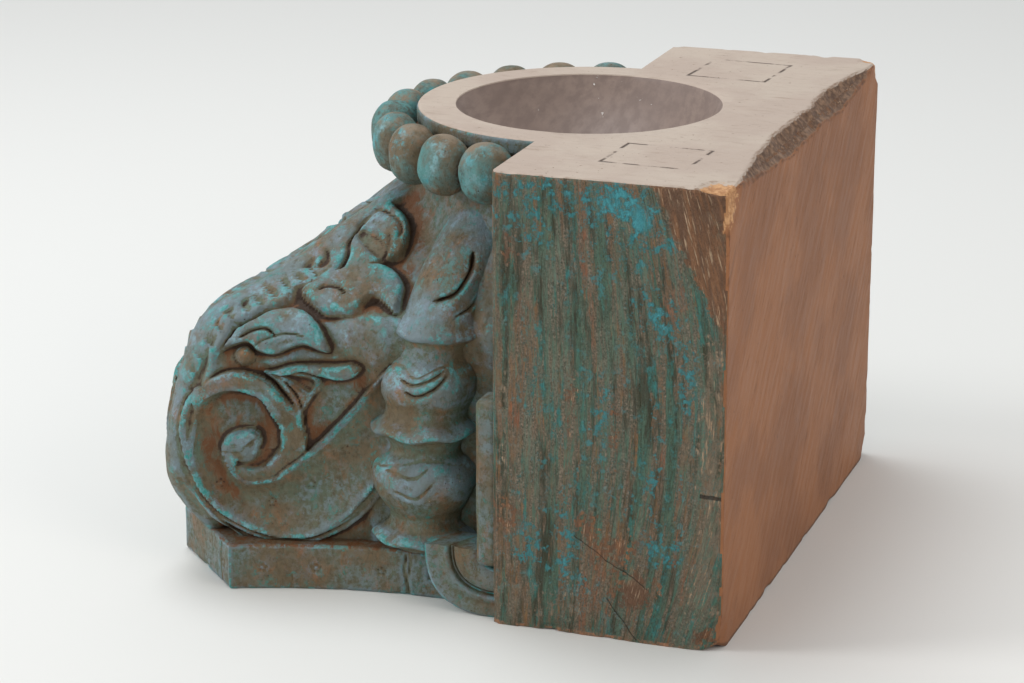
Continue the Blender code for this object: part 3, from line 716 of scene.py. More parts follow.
def softLeast(first, second, blend):
    mix = np.clip(0.5 + 0.5 * (first - second) / blend, 0, 1)
    return first * (1 - mix) + second * mix - blend * mix * (1 - mix)


def groundRadius(angle, height):
    near = np.full(angle.shape, billet["neckRadius"] * 0.3)
    far = np.full(angle.shape, billet["reach"] * 1.3)
    for _ in range(22):
        middle = (near + far) / 2
        outside = groundField(np.abs(middle * np.cos(angle)), middle * np.sin(angle), height) > 0
        far = np.where(outside, middle, far)
        near = np.where(outside, near, middle)
    return near


def scrollRelief(p, q, around):
    # around is the height of what surrounds the scroll; all in millimetres
    radius = np.hypot(p, q)
    turn = np.mod(np.arctan2(-q, p), 2 * np.pi) / (np.pi / 4)
    outer = atEighths(scroll["channelOuter"], turn)
    inner = atEighths(scroll["channelInner"], turn)
    rim = atEighths(scroll["rim"], turn)

    def channel(u, at):
        innerEdge, floor, outerEdge = (along(scroll[name], at) for name in ("innerEdge", "floor", "outerEdge"))
        lowAt, steep = along(scroll["lowAt"], at), along(scroll["steep"], at)
        return (floor + (innerEdge - floor) * np.clip(1 - u / lowAt, 0, 1) ** 2
                + (outerEdge - floor) * np.clip((u - lowAt) / (1 - lowAt), 0, 1) ** steep)

    tailIn, _, _ = toPath(smoothPath(scroll["tailInner"]), p, q)
    tailOut, _, _ = toPath(smoothPath(scroll["tailOuter"]), p, q)
    onTail = smoothStep(1.2, 0.3, turn) + smoothStep(7.0, 7.6, turn)
    tailGap = np.interp(p, *zip(*scroll["tailInner"])) - q
    outGap = q - np.interp(p, *zip(*scroll["tailOuter"]))
    uTail = tailIn / (tailIn + tailOut)
    uPolar = (radius - inner) / (outer - inner)
    onRight = np.clip(onTail, 0, 1) * (p > 8)
    u = np.clip(uPolar + (uTail - uPolar) * np.where(turn < 4, onRight, 1.0 * (p > 8)), 0, 1)
    polarIn = smoothStep(-0.35, 0.35, radius - inner)
    polarOut = smoothStep(-0.35, 0.35, outer - radius)
    tailInside = smoothStep(-0.35, 0.35, tailGap * 0.72) * smoothStep(-0.35, 0.35, outGap * 0.8)
    lower = turn < 4
    weight = np.where(lower, onRight, 0)
    inChannel = polarIn * polarOut * (1 - weight) + tailInside * weight
    upperTail = (turn > 7.0) & (p > 30)

    # The lip left and over the channel, which sinks to a plain ribbon on the right
    lip = along(scroll["outerEdge"], np.minimum(turn, 6.9)) - 3.8 * smoothStep(6.85, 7.35, turn)
    fillet = smoothStep(4.6, 3.9, radius - rim) * smoothStep(3.9, 3.0, turn)
    height = around + (-2.2 - around) * fillet * (1 - upperTail)
    inRim = smoothStep(-0.4, 0.4, rim - radius) * (1 - weight)
    height = height + (lip - height) * inRim
    height = height + (channel(u, turn) - height) * inChannel

    # The ribbon between the channel's inner edge and the last turn
    ribbonAt = np.minimum(turn + 8, 10)
    ribbonGap = np.where(weight > 0.5, tailGap * 0.72, radius - inner)
    height = height + (-2.8 - height) * np.where(lower, smoothStep(0.45, -0.45, ribbonGap), 0) * (radius < 48)
    lastOuter = atEighths(scroll["channelOuter"], ribbonAt)
    lastInner = atEighths(scroll["channelInner"], ribbonAt)
    lastU = np.clip((radius - lastInner) / (lastOuter - lastInner), 0, 1)
    inLast = smoothStep(-0.35, 0.35, lastOuter - radius) * (turn < 2.5)
    height = height + (channel(lastU, ribbonAt) - height) * inLast

    # Above the level of the eye the channel runs on towards the bell
    above = upperTail & (tailGap > -0.6) & (outGap > -3)
    runOn = smoothStep(-0.4, 0.4, tailGap * 0.72) * smoothStep(-2.0, 0.5, outGap)
    height = np.where(above, height + (channel(uTail, np.zeros(turn.shape)) - height) * runOn, height)

    # The eye: a steep-sided button with a dished face
    size = np.where(turn < 2.4, lastInner, inner) * 0.97
    button = np.sqrt(np.clip(1 - (radius / size) ** 3, 0, 1))
    spiral = 0.5 * np.sin(turn * np.pi / 4 + radius * 0.75)
    face = -4.4 + 5.2 * button + spiral * (radius < size * 0.8)
    return np.where(radius < size, np.maximum(height, face), height)


def leafRelief(p, q):
    # The raised leaf with its lobes, and the ground that is cut back round them
    depths = [depthIn(points, p, q) for points in lobes.values()]
    body = depthIn(leafEdge, p, q)
    stemDepth = depthIn(stem, p, q)
    union = np.maximum(body, np.max(depths, axis=0))
    gap = np.maximum(-union, 0)
    ground = -3.6 - 2.2 * np.exp(-gap / 3.0)
    ground = ground + 1.3 * smoothStep(-3.0, 5.0, depthIn(panel, p, q))
    triangle = smoothStep(48, 40, q) * smoothStep(74, 66, p)
    ground = ground + (-6.2 - ground) * triangle
    ground = ground + (-1.0 - ground) * smoothStep(-4, -18, p)
    height = ground + (0.2 - ground) * smoothStep(-0.6, 1.6, union)
    height = height - 0.4 * smoothStep(0.8, 9.0, body)
    for depth in depths:
        height = np.where(depth > 0, height + 0.9 * smoothStep(0.8, 6.5, depth), height)
        seam = np.exp(-(depth / 0.9) ** 2) * smoothStep(0.6, 2.5, body)
        height = height - 0.9 * seam
    height = np.maximum(height, np.where(stemDepth > 0, -6.2 + 3.6 * smoothStep(0, 1.6, stemDepth), -9))
    drop = depthIn(teardrop, p, q)
    height = height - 3.0 * smoothStep(0.0, 3.2, drop) + 1.0 * np.exp(-(drop / 0.9) ** 2)
    eye = np.hypot(p - 96.5, q - 106)
    height = height - 2.2 * smoothStep(6.5, 4.5, eye) + 0.8 * np.exp(-((eye - 7) / 1.0) ** 2)
    ball = np.hypot(p - 4, q - 53)
    dome = -5.5 + 6.6 * np.sqrt(np.clip(1 - (ball / 5.5) ** 2, 0, 1))
    height = np.maximum(height, np.where(ball < 5.4, dome, -9))
    gap, place, _ = toPath(smoothPath(notchRow), p, q)
    saw = np.mod(place * 13, 1)
    height = height + np.where(gap < 3.6, 1.5 * (saw ** 1.5 - 0.35), 0) * smoothStep(3.6, 2.2, gap)
    return height


def carvedLift(p, q):
    # Height of the whole carving over the plain ground, in millimetres
    lift = scrollRelief(p, q, leafRelief(p, q))
    for path, width, depth in cuts:
        lift = lift + gouge(path, p, q, width, depth)
    for place in channelStars:
        lift = lift + starDots(p - place[0], q - place[1])
    return lift


def starDots(p, q):
    # Five punched dots, a millimetre deep
    total = 0
    for dot in range(5):
        angle = 2 * math.pi * (dot + 0.2) / 5
        gap = (p - 2.1 * math.cos(angle)) ** 2 + (q - 2.1 * math.sin(angle)) ** 2
        total = total - 1.0 * np.exp(-gap / 0.9)
    return total


def makeCarvedHalf(name, hand):
    rows, columns = bell["rows"], bell["columns"]
    heights = np.linspace(bell["low"], bell["high"], rows)
    fine = np.linspace(-math.pi / 2, math.pi / 2, 1400)
    fineAngle, fineHeight = np.meshgrid(fine, heights)
    radius = groundRadius(fineAngle, fineHeight)
    x, y = radius * np.cos(fineAngle), radius * np.sin(fineAngle)
    lengths = np.hypot(np.diff(x, axis=1), np.diff(y, axis=1))
    middles = (y[:, 1:] + y[:, :-1]) / 2
    lengths = lengths * np.where(middles > billet["axisToBlock"] + 0.004, bell["hiddenSpacing"], 1.0)
    travel = np.concatenate([np.zeros((rows, 1)), np.cumsum(lengths, axis=1)], axis=1)
    corner = np.argmin(np.abs(fine + math.pi / 4))
    cut = int(columns * bell["columnsToSpine"])
    angle = np.empty((rows, columns))
    for row in range(rows):
        whole = travel[row]
        toSpine = np.linspace(0, whole[corner], cut, endpoint=False)
        onwards = np.linspace(whole[corner], whole[-1], columns - cut)
        angle[row] = np.interp(np.concatenate([toSpine, onwards]), whole, fine)
    height = np.repeat(heights[:, None], columns, axis=1)
    radius = groundRadius(angle, height)
    across, ahead = radius * np.cos(angle), radius * np.sin(angle)
    step = 0.0004
    normal = np.stack([
        groundField(across + step, ahead, height) - groundField(np.abs(across - step), ahead, height),
        groundField(across, ahead + step, height) - groundField(across, ahead - step, height),
        groundField(across, ahead, height + step) - groundField(across, ahead, height - step)], axis=-1)
    normal /= np.linalg.norm(normal, axis=-1, keepdims=True)
    out = (across - ahead) / math.sqrt(2)
    off = np.abs(across + ahead) / math.sqrt(2)
    p = ((billet["reach"] - out) / math.cos(billet["spread"]) - billet["eyeBack"]) / mm
    q = (height - billet["eyeHeight"]) / mm
    onArm = smoothStep(0.45, 1.0, off / billet["tipHalfWidth"]) * smoothStep(138, 122, p)
    fade = smoothStep(0.0, 0.008, bell["high"] - height)
    points = np.stack([hand * across, ahead + axisY, height], axis=-1)
    wobble = sum(softNoise(points, size, seed, 2) * amount for size, seed, amount in bell["handWobble"])
    carved = carvedLift(p + 0.8 * softNoise(points, 0.011, 8), q + 0.8 * softNoise(points, 0.011, 9))
    lift = (carved * onArm + wobble) * fade * mm
    points = points + normal * lift[..., None] * np.array([hand, 1, 1])
    points[0, :, 2], points[-1, :, 2] = bell["low"], bell["high"]
    points[:, 0, 0] = points[:, -1, 0] = 0
    points[..., 1] = np.minimum(points[..., 1], blockFront + bell["intoBlock"])
    facing = gridNormals(points, False) * hand
    # Painted light: upward faces count as more raised and downward ones as more hollow, so the paint lays paler
    # colour on tops and painted shade under them; deep, the broad hollows, takes painted shade too
    hollow = hollowness(points, facing, 6, False) - 0.16 * (facing[..., 2] - 0.1)
    deep = np.clip(hollowness(points, facing, 60, False) * 0.5 - 0.05, -0.4, 1.0)
    axis = np.zeros((rows, 1, 3))
    axis[:, 0, 1] = axisY
    axis[:, 0, 2] = heights
    closed = np.concatenate([axis, points, axis], axis=1)
    # The closed top sinks under the bowl
    lid = [closed[-1, :1] + (closed[-1] - closed[-1, :1]) * share for share in np.linspace(0.95, 0.10, 6)]
    closed = np.concatenate([closed, lid])
    beside = np.minimum(np.hypot(closed[..., 0], closed[..., 1] - bowlY), billet["bowlRadius"])
    closed[..., 2] = np.minimum(closed[..., 2], bowlHeight(beside) - bell["underBowl"])
    piece = drapeGrid(name, closed)
    margins = ((0, len(lid)), (1, 1))
    setAttribute(piece, "hollow", np.pad(hollow, margins))
    setAttribute(piece, "deep", np.pad(deep, margins))
    closePiece(piece, 60)
    return finishPiece(piece, carvedPaint)


makeCarvedHalf("carvedHalfRight", 1)
makeCarvedHalf("carvedHalfLeft", -1)
print("carved halves done")


# The wall block with the round top and its bowl, one skin round the bowl's axis

top = {
    "discRadius": 0.097,
    "edgeRound": 0.0022,
    # Down the disc's edge: out from its radius and below the top, past the lip, the groove and the bead band
    "collar": ((0, 0.0022), (0, 0.008), (-0.0015, 0.0105), (0.002, 0.013), (0.008, 0.016), (0.009, 0.026),
               (0.001, 0.031), (-0.006, 0.036), (-0.040, 0.045)),
    "footMiddle": 0.0415,  # of the underside, in Y
    "inside": (0, 0.09, 0.12),  # a place well inside the block
    "bowlRows": 30,
    "flatRows": 26,
    "sideRows": 96,
}

# Patches on the block's sides: across from its front edge and up in millimetres, half sizes, strength
facePatches = {
    "turquoise": ((30, 241, 30, 9, 0.8), (68, 238, 22, 12, 1.0), (82, 232, 9, 14, 1.3), (90, 182, 9, 8, 0.9),
                  (14, 226, 14, 10, 0.5), (107, 150, 5, 16, 0.6), (98, 52, 12, 6, 0.8), (42, 40, 10, 22, 0.6),
                  (20, 52, 8, 12, 0.5), (60, 124, 4, 10, 0.4), (88, 92, 4, 30, 0.35), (70, 24, 14, 8, 0.4)),
    "bareWood": ((122, 238, 8, 12, 1.0), (66, 50, 14, 14, 0.75),
                 (78, 30, 14, 12, 0.8), (56, 62, 10, 8, 0.6), (10, 208, 6, 14, 0.45), (68, 112, 4, 24, 0.5),
                 (44, 128, 5, 22, 0.5), (8, 64, 10, 12, 0.5), (120, 8, 10, 6, 0.8)),
    "rubbed": ((119, 110, 7, 70, 0.95), (116, 40, 10, 40, 0.8), (30, 14, 40, 14, 0.6), (6, 120, 6, 40, 0.5)),
}


def topOutline():
    # Rounded outline round disc and block, with the turn about the bowl that belongs to each point
    half = billet["blockWidth"] / 2
    front = blockFront - bowlY
    back = blockBack - bowlY
    disc = top["discRadius"]
    meet = math.asin(front / disc)
    points, turns = [], []
    for angle in np.linspace(-math.pi / 2, meet, 120):
        points.append((disc * math.cos(angle), disc * math.sin(angle)))
        turns.append(angle)
    lowTurn, highTurn = turns[-1], math.atan2(0.012, half)

    def runAlong(start, finish, gaps, fromTurn=None, toTurn=None):
        # Points closer together near the corners
        spots = 0.5 - 0.5 * np.cos(np.linspace(0, math.pi, gaps + 1))[1:]
        spots = 0.65 * spots + 0.35 * np.linspace(0, 1, gaps + 1)[1:]
        for spot in spots:
            x = start[0] + (finish[0] - start[0]) * spot
            y = start[1] + (finish[1] - start[1]) * spot
            points.append((x, y))
            turns.append(math.atan2(y, x) if fromTurn is None else fromTurn + (toTurn - fromTurn) * spot)

    bend = top["edgeRound"]
    runAlong((disc * math.cos(meet), front), (half - bend, front), 22, lowTurn, highTurn)
    runAlong((half - bend, front), (half, front + bend), 3, highTurn, math.atan2(front + 0.012, half))
    runAlong((half, front + bend), (half, back - bend), 62, math.atan2(front + 0.012, half),
             math.atan2(back - bend, half))
    runAlong((half, back - bend), (half - bend, back), 3)
    runAlong((half - bend, back), (0, back), 66)
    right = np.array(points)
    turn = np.array(turns)
    left = right[::-1][1:] * np.array([-1, 1])
    return np.concatenate([right, left]), np.concatenate([turn, math.pi - turn[::-1][1:]])


def makeWallBlock():
    outline, turn = topOutline()
    count = len(outline)
    isDisc = (np.hypot(*outline.T) < top["discRadius"] + 1e-4) & (outline[:, 1] <= blockFront - bowlY + 1e-5)
    lines = []
    for share in np.linspace(0, 1, top["bowlRows"]) ** 0.8:
        beside = billet["bowlRadius"] * share
        z = np.full(count, bowlHeight(beside))
        lines.append(np.stack([beside * np.cos(turn), beside * np.sin(turn), z], axis=-1))
    rim = np.stack([billet["bowlRadius"] * np.cos(turn), billet["bowlRadius"] * np.sin(turn)], axis=-1)
    lines[-1][:, 2] = topZ - 0.0006
    bend = top["edgeRound"]
    inwards = outline * (1 - bend / np.hypot(*outline.T))[:, None]
    shares = 1 - (1 - np.linspace(0, 1, top["flatRows"] + 1)[1:]) ** 1.7
    shares[0] = 0.012
    for share in shares:
        spot = rim + (inwards - rim) * share
        lines.append(np.concatenate([spot, np.full((count, 1), topZ)], axis=1))
    for step in range(1, 5):
        angle = math.pi / 2 * step / 4
        spot = inwards + (outline - inwards) * math.sin(angle)
        lines.append(np.concatenate([spot, np.full((count, 1), topZ - bend * (1 - math.cos(angle)))], axis=1))
    # Down the sides of the block, and on the disc down its lip, its groove and the band behind the beads
    rows = top["sideRows"]
    down = np.linspace(0, 1, rows + 1)[1:]
    down = 0.5 - 0.275 * np.cos(down * math.pi) - 0.225 * (1 - 2 * down)
    down = (down - down[0]) / (down[-1] - down[0]) * 0.985 + 0.015
    collar = np.array(top["collar"])
    pathShare = np.linspace(0, 1, len(collar))
    for share in down:
        z = np.full(count, (topZ - bend) * (1 - share))
        spot = outline.copy()
        spot[isDisc] *= 1 + np.interp(share, pathShare, collar[:, 0]) / top["discRadius"]
        z[isDisc] = topZ - np.interp(share, pathShare, collar[:, 1])
        lines.append(np.concatenate([spot, z[:, None]], axis=1))
    last = lines[-1]
    foot = np.array([0.0, top["footMiddle"] - bowlY, 0.0])
    for share in (0.97, 0.9, 0.7, 0.4, 0.1):
        spot = foot + (last - foot) * share
        spot[:, 2] = last[:, 2] * share
        lines.append(spot)
    points = np.array(lines)
    points[..., 1] += bowlY
    points, broken, fresh = damageBlock(points)
    hollow = hollowness(points, facingOut(points, top["inside"], False), 3, False)
    # The bowl's rim is crisp and clean, so wear leaves it out
    hollow[:top["bowlRows"] + 8] = 0
    piece = drapeGrid("wallBlock", points)
    setAttribute(piece, "hollow", np.clip(hollow, -1.5, 1.5))
    x, y, z = points[..., 0], points[..., 1], points[..., 2]
    for name, patches in facePatches.items():
        total = np.zeros(x.shape)
        for across, up, wide, tall, strength in patches:
            lean = (z / mm - up) * 0.25 * (up > 150)
            gap = ((y - blockFront) / mm - across + lean) ** 2 / wide ** 2 + (z / mm - up) ** 2 / tall ** 2
            total = np.maximum(total, strength * np.exp(-gap * 0.8))
        if name == "bareWood":
            across = (y - blockFront) / mm - 84 - (topZ - z) / mm * 0.5
            total = np.maximum(total, 0.85 * smoothStep(-3, 5, across) * smoothStep(0.155, 0.190, z))
        total = total + 0.22 * softNoise(points, 0.016, 31, 3)
        setAttribute(piece, name, total)
    setAttribute(piece, "broken", broken)
    setAttribute(piece, "fresh", fresh)
    # Painted shade: the groove under the disc's lip and the band behind the beads take the dark brown of the hollows
    setAttribute(piece, "deep", np.where(isDisc[None, :] & (z < topZ - 0.009), 0.9, 0.0))
    finishPiece(piece, topWood, bowlWood, facePaint, backWood, carvedPaint)
    chooseFaces(piece, points, isDisc)
    closePiece(piece, 40)
    return piece


# Wear of the block in metres
wear = {
    # Side, Y and Z of a chipped corner, then its reach and depth
    "corners": (((1, blockBack, topZ), 0.020, 0.006), ((1, blockBack, 0.0), 0.014, 0.005),
                ((-1, blockBack, topZ), 0.012, 0.004), ((-1, blockBack, 0.0), 0.012, 0.004),
                ((1, blockFront, 0.008), 0.006, 0.0015), ((-1, blockFront, topZ), 0.008, 0.002)),
    # Places in X along the top back edge, and the width that is broken off there
    "bevelAt": (-0.15, -0.11, -0.02, 0.08, 0.125, 0.15),
    "bevelWide": (0.001, 0.006, 0.0075, 0.006, 0.003, 0.0015),
    "nickDepth": 0.0035,
    "adzeWave": 0.0007,
}


def damageBlock(points):
    # Chips, the broken back edge and soft wear, all moved into the surface
    x, y, z = points[..., 0], points[..., 1], points[..., 2]
    half = billet["blockWidth"] / 2
    onBlock = y > blockFront - 0.0005
    fromBack = blockBack - y
    fromTop = topZ - z
    fromSide = half - np.abs(x)
    coarse = softNoise(points, 0.018, 41, 3)
    fine = softNoise(points, 0.005, 43, 2)
    # Broken bevel on the top back edge
    wide = np.interp(x, wear["bevelAt"], wear["bevelWide"])
    wide = wide * (1 + 0.45 * softNoise(np.stack([x, 0 * x, 0 * x], axis=-1), 0.03, 47, 3))
    bevel = np.clip(wide - (fromBack + fromTop) * 0.72, 0, None) * onBlock
    move = np.zeros(points.shape)
    move[..., 1] -= bevel * 0.75
    move[..., 2] -= bevel * 0.75
    # Chipped corners; those at the top show fresh wood
    freshCorner = np.zeros(x.shape)
    for (side, cornerY, cornerZ), size, depth in wear["corners"]:
        gap = np.sqrt((x - side * half) ** 2 + (y - cornerY) ** 2 + ((z - cornerZ) * 0.7) ** 2)
        amount = np.clip(1 - gap / (size * (1 + 0.5 * coarse)), 0, 1)
        towards = np.array([-side, -1 if cornerY > 0.1 else 1, -1 if cornerZ > 0.1 else 1]) * 0.58
        move += towards * (amount * depth * (1 + 0.3 * fine))[..., None]
        freshCorner = np.maximum(freshCorner, amount * 2.2 * (cornerZ > 0.1))
    # Small nicks along every long edge
    edge = np.minimum(np.minimum(fromBack + fromTop, fromBack + fromSide), fromSide + fromTop)
    edge = np.minimum(edge, np.minimum(z + fromBack, z + fromSide))
    nick = np.clip(-softNoise(points, 0.012, 51, 3) - 0.25, 0, 1) * smoothStep(0.009, 0.0, edge) * onBlock
    inward = np.array([0, 0.10, 0.12]) - points
    inward /= np.linalg.norm(inward, axis=-1, keepdims=True)
    move += inward * (nick * wear["nickDepth"])[..., None]
    # Soft adze waves on the faces
    wave = np.abs(softNoise(points, 0.045, 61, 2)) * wear["adzeWave"]
    move[..., 0] -= np.sign(x) * wave * ((fromSide < 0.001) & onBlock)
    move[..., 1] -= wave * (fromBack < 0.001)
    return points + move, np.clip(bevel / 0.002, 0, 1), freshCorner


def chooseFaces(piece, points, isDisc):
    # Material for each face of the grid by its row and the way it looks
    inBowl, onSide, onBack, onCollar = 1, 2, 3, 4
    rows, columns = points.shape[:2]
    kinds = np.zeros((rows - 1, columns - 1), np.int32)
    kinds[:top["bowlRows"] - 1] = inBowl
    sideStart = top["bowlRows"] + top["flatRows"] + 1
    middle = (points[:-1, :-1] + points[1:, 1:]) / 2
    onDisc = isDisc[:-1] | isDisc[1:]
    for row in range(sideStart, rows - 1):
        x, y = middle[row, :, 0], middle[row, :, 1]
        back = (blockBack - y < 0.0035) & (np.abs(x) < billet["blockWidth"] / 2 - 0.0012)
        kinds[row] = np.where(onDisc, onCollar, np.where(back, onBack, onSide))
    kinds[rows - 6:] = onBack
    piece.data.polygons.foreach_set("material_index", kinds.reshape(-1))


makeWallBlock()
print("wall block done")


# The hollow-sided slab that the capital stands on

slab = {
    "thickness": 0.026,
    "hornHalf": 0.120,
    "hollow": 0.025,
    "behind": 0.0395,
    "edgeRound": 0.0016,
    "middle": (0, -0.02),  # of its rings, from the capital's axis
    "roughRadius": 0.15,  # turns the bend of its edges into a share
    "starsAt": (-0.099, -0.070, -0.034, 0.000),  # in Y
    # Y, depth in millimetres and share of the height
    "scores": ((-0.124, 1.0, 1), (-0.084, 0.8, 0.5), (-0.020, 1.3, 1), (-0.018, 0.8, 1)),
    "hole": (-0.004, 0.0135, 0.0016),  # Y, Z and depth
}


def slabOut(off):
    arc = (slab["hornHalf"] ** 2 + slab["hollow"] ** 2) / (2 * slab["hollow"])
    return slabHalf - slab["hollow"] + arc - np.sqrt(arc ** 2 - off ** 2)


def makeSlab():
    horn = slab["hornHalf"]
    side = np.linspace(slab["behind"], -horn, 150)
    chamfer = np.linspace(0, 1, 50)[1:-1]
    front = np.linspace(horn, -horn, 220)
    right = np.stack([slabOut(side), side], axis=-1)
    corner = np.stack([slabHalf + (horn - slabHalf) * chamfer, -horn + (horn - slabHalf) * chamfer], axis=-1)
    face = np.stack([front, -slabOut(front)], axis=-1)
    outline = np.concatenate([right, corner, face, corner[::-1] * [-1, 1], right[::-1] * [-1, 1]])
    middle = np.array(slab["middle"])
    bend, radius = slab["edgeRound"], slab["roughRadius"]
    lines = [(share, 0) for share in (0.2, 0.6, 0.9, 0.985)]
    for step in range(4):
        angle = math.pi / 2 * step / 3
        lines.append((1 - bend * (1 - math.sin(angle)) / radius, bend * (1 - math.cos(angle))))
    for z in np.linspace(bend, slab["thickness"] - bend, 30)[1:-1]:
        lines.append((1.0, z))
    for step in range(4):
        angle = math.pi / 2 * step / 3
        height = slab["thickness"] - bend * (1 - math.sin(angle))
        lines.append((1 - bend * (1 - math.cos(angle)) / radius, height))
    for share in (0.985, 0.96, 0.9, 0.8, 0.6, 0.2):
        lines.append((share, slab["thickness"]))
    points = np.array([np.concatenate([middle + (outline - middle) * share + [0, axisY],
                                       np.full((len(outline), 1), z)], axis=1) for share, z in lines])
    x, y, z = points[..., 0], points[..., 1], points[..., 2]
    inward = np.array([middle[0], middle[1] + axisY, 0]) - points
    inward[..., 2] = 0
    inward /= np.maximum(np.linalg.norm(inward, axis=-1, keepdims=True), 1e-6)
    onSide = smoothStep(0.95, 0.995, np.array([share for share, _ in lines]))[:, None]
    edge = np.minimum(z, slab["thickness"] - z)
    nick = np.clip(-softNoise(points, 0.011, 71, 3) - 0.2, 0, 1) * smoothStep(0.006, 0.0, edge)
    lift = nick * 0.003 + np.abs(softNoise(points, 0.03, 72, 2)) * 0.0006
    onFlank = np.abs(x) > 0.13
    for star in slab["starsAt"]:
        up = (z - 0.0125) / mm
        for hand in (-1, 1):
            lift = lift - starDots((y - star) / mm, up) * mm * 1.3 * (x * hand > 0.13)
            lift = lift - starDots((x - hand * (0.198 + star)) / mm, up) * mm * (y < -0.12)
    for score, deep, tall in slab["scores"]:
        wander = 0.0007 * np.sin(z * 260 + score * 900)
        line = np.exp(-((y - score - wander) / 0.0006) ** 2)
        lift = lift + deep * mm * line * onFlank * (z < slab["thickness"] * tall)
    holeY, holeZ, holeDepth = slab["hole"]
    hole = smoothStep(0.0034, 0.0026, np.maximum(np.abs(y - holeY), np.abs(z - holeZ)))
    lift = lift + holeDepth * hole * (np.abs(x) > 0.12)
    points = points + inward * (lift * onSide)[..., None]
    hollow = hollowness(points, facingOut(points, [0, 0, 0.013]), 3)
    hollow[:4], hollow[-5:] = 0, 0
    deep = np.where(points[..., 2] > slab["thickness"] - 0.001, 0.75, 0.15)
    return drapeLoop("baseSlab", points, {"hollow": hollow, "deep": deep}, 40, carvedPaint)


makeSlab()
print("slab done")


# Tassels: stacked husks, turned in outline and cut with lids and crescents

# Height, radius and how far its middle lies in towards the neck, in millimetres
tassel = {
    "profile": ((24, 14), (26, 19), (29, 23), (31.5, 28.5), (33, 30), (35, 28.5), (39, 22), (45, 20.2), (52, 24),
                (59, 28.4), (66, 30), (72, 28.8), (77, 25.5), (81, 21), (87, 21.2), (91, 24.5), (93.5, 29.8),
                (95, 30.6), (97, 28.6), (101, 24.2), (106, 23.6), (114, 27), (121, 28), (128, 25.6), (134, 21.6),
                (139, 21.4), (143, 23.2), (145.5, 26.6), (147, 27.2), (149, 26.6), (153, 24.6), (158, 23), (165, 22),
                (186, 21.6), (200, 21), (215, 19.5)),
    "lean": ((24, 0), (78, 0), (105, 0.03), (121, 0.08), (146, 0.22), (160, 0.31), (172, 0.42), (186, 0.60),
             (200, 0.80), (215, 1.0)),
    "rootOut": 74.5,  # of its middle from the round top's axis
    "rows": 230,
    "sides": 150,
    "girth": 29,  # radius on which the marks are laid out
    # Cuts as path in degrees and height, width and depth
    "cuts": ((((16, 190), (28, 182), (29, 176), (20, 168), (-10, 164.5)), 1.9, 4.5),
             (((70, 178), (63, 171), (54, 162), (30, 158)), 1.1, 2.2),
             (((-24, 126), (-3, 123), (15, 124.4), (35, 131)), 1.5, 2.0),
             (((-14, 121), (6, 117), (23, 120.6), (40, 130)), 1.5, 2.2),
             (((-66, 128), (-30, 130.5), (-6, 127), (4, 126.5), (24, 131), (50, 133)), 1.0, 0.9),
             (((-36, 74.5), (1, 72.3), (28, 78)), 1.5, 1.3),
             (((-16, 63.8), (9, 62), (30, 70.5)), 1.5, 1.2),
             (((-60, 74), (-14, 77.5), (26, 80), (84, 75)), 1.0, 0.9)),
    "stars": ((-70, 190), (-12, 194.4), (-40, 179)),
}
sideFoot = Vector((0.1275, axisY - 0.019))
frontFoot = Vector((0.0, axisY - 0.1275))


def makeTassel(name, foot, hand, seed):
    rows, sides = tassel["rows"], tassel["sides"]
    keys = np.array(tassel["profile"], float)
    heights = np.linspace(keys[0, 0], keys[-1, 0], rows)
    radius = along(tassel["profile"], heights)
    towards = Vector((0, bowlY)) - foot
    inwards = along(tassel["lean"], heights) * (towards.length / mm - tassel["rootOut"])
    towards = towards.normalized()
    angles = np.linspace(0, 2 * math.pi, sides, endpoint=False)
    angle, height = np.meshgrid(angles, heights)
    # Marks are placed by degrees from the way that the tassel looks
    outward = math.atan2(-towards.y, -towards.x) if hand == 0 else math.atan2(0.0, hand)
    around = np.degrees(np.mod(angle - outward + math.pi, 2 * math.pi) - math.pi) * (hand if hand else 1)
    arc = np.radians(around) * tassel["girth"]
    lift = np.zeros(angle.shape)
    for path, width, depth in tassel["cuts"]:
        path = [(math.radians(turn) * tassel["girth"], z) for turn, z in path]
        lift += gouge(path, arc, height, width, depth)
        if hand == 0:
            lift += gouge([(-s - 14, z) for s, z in path], arc, height, width, depth)
    for turn, z in tassel["stars"]:
        lift += starDots(arc - math.radians(turn) * tassel["girth"], height - z)
    base = np.stack([radius[:, None] * np.cos(angle), radius[:, None] * np.sin(angle), height], axis=-1)
    lumps = base * mm + seed
    wobble = softNoise(lumps, 0.012, seed, 2) * 0.9 + softNoise(lumps, 0.004, seed + 1, 2) * 0.25
    # Each husk's rim is scalloped a little
    scallop = 0.9 * np.sin(angle * 7 + height * 0.05)
    stick = (radius[:, None] + lift + wobble) * mm
    points = np.stack([foot.x + towards.x * inwards[:, None] * mm + stick * np.cos(angle),
                       foot.y + towards.y * inwards[:, None] * mm + stick * np.sin(angle),
                       (height + scallop * smoothStep(22, 29, radius)[:, None]) * mm], axis=-1)
    facing = facingOut(points, [foot.x, foot.y, 0.1])
    # Painted light: upward faces count as more raised and downward ones as more hollow, so the paint lays paler
    # colour on tops and painted shade under the husks; deep, the broad hollows, takes painted shade too
    hollow = hollowness(points, facing, 5) - 0.20 * facing[..., 2]
    deep = np.clip(hollowness(points, facing, 60) * 0.30 - lift * 0.12, 0, 1)
    return drapeLoop(name, points, {"hollow": hollow, "deep": deep}, 60, carvedPaint)


makeTassel("tasselRight", sideFoot, 1, 81)
makeTassel("tasselLeft", Vector((-sideFoot.x, sideFoot.y)), -1, 85)
makeTassel("tasselFront", frontFoot, 0, 89)
print("tassels done")


# Ribbon tails that curl off the side tassels down to the floor and into the block

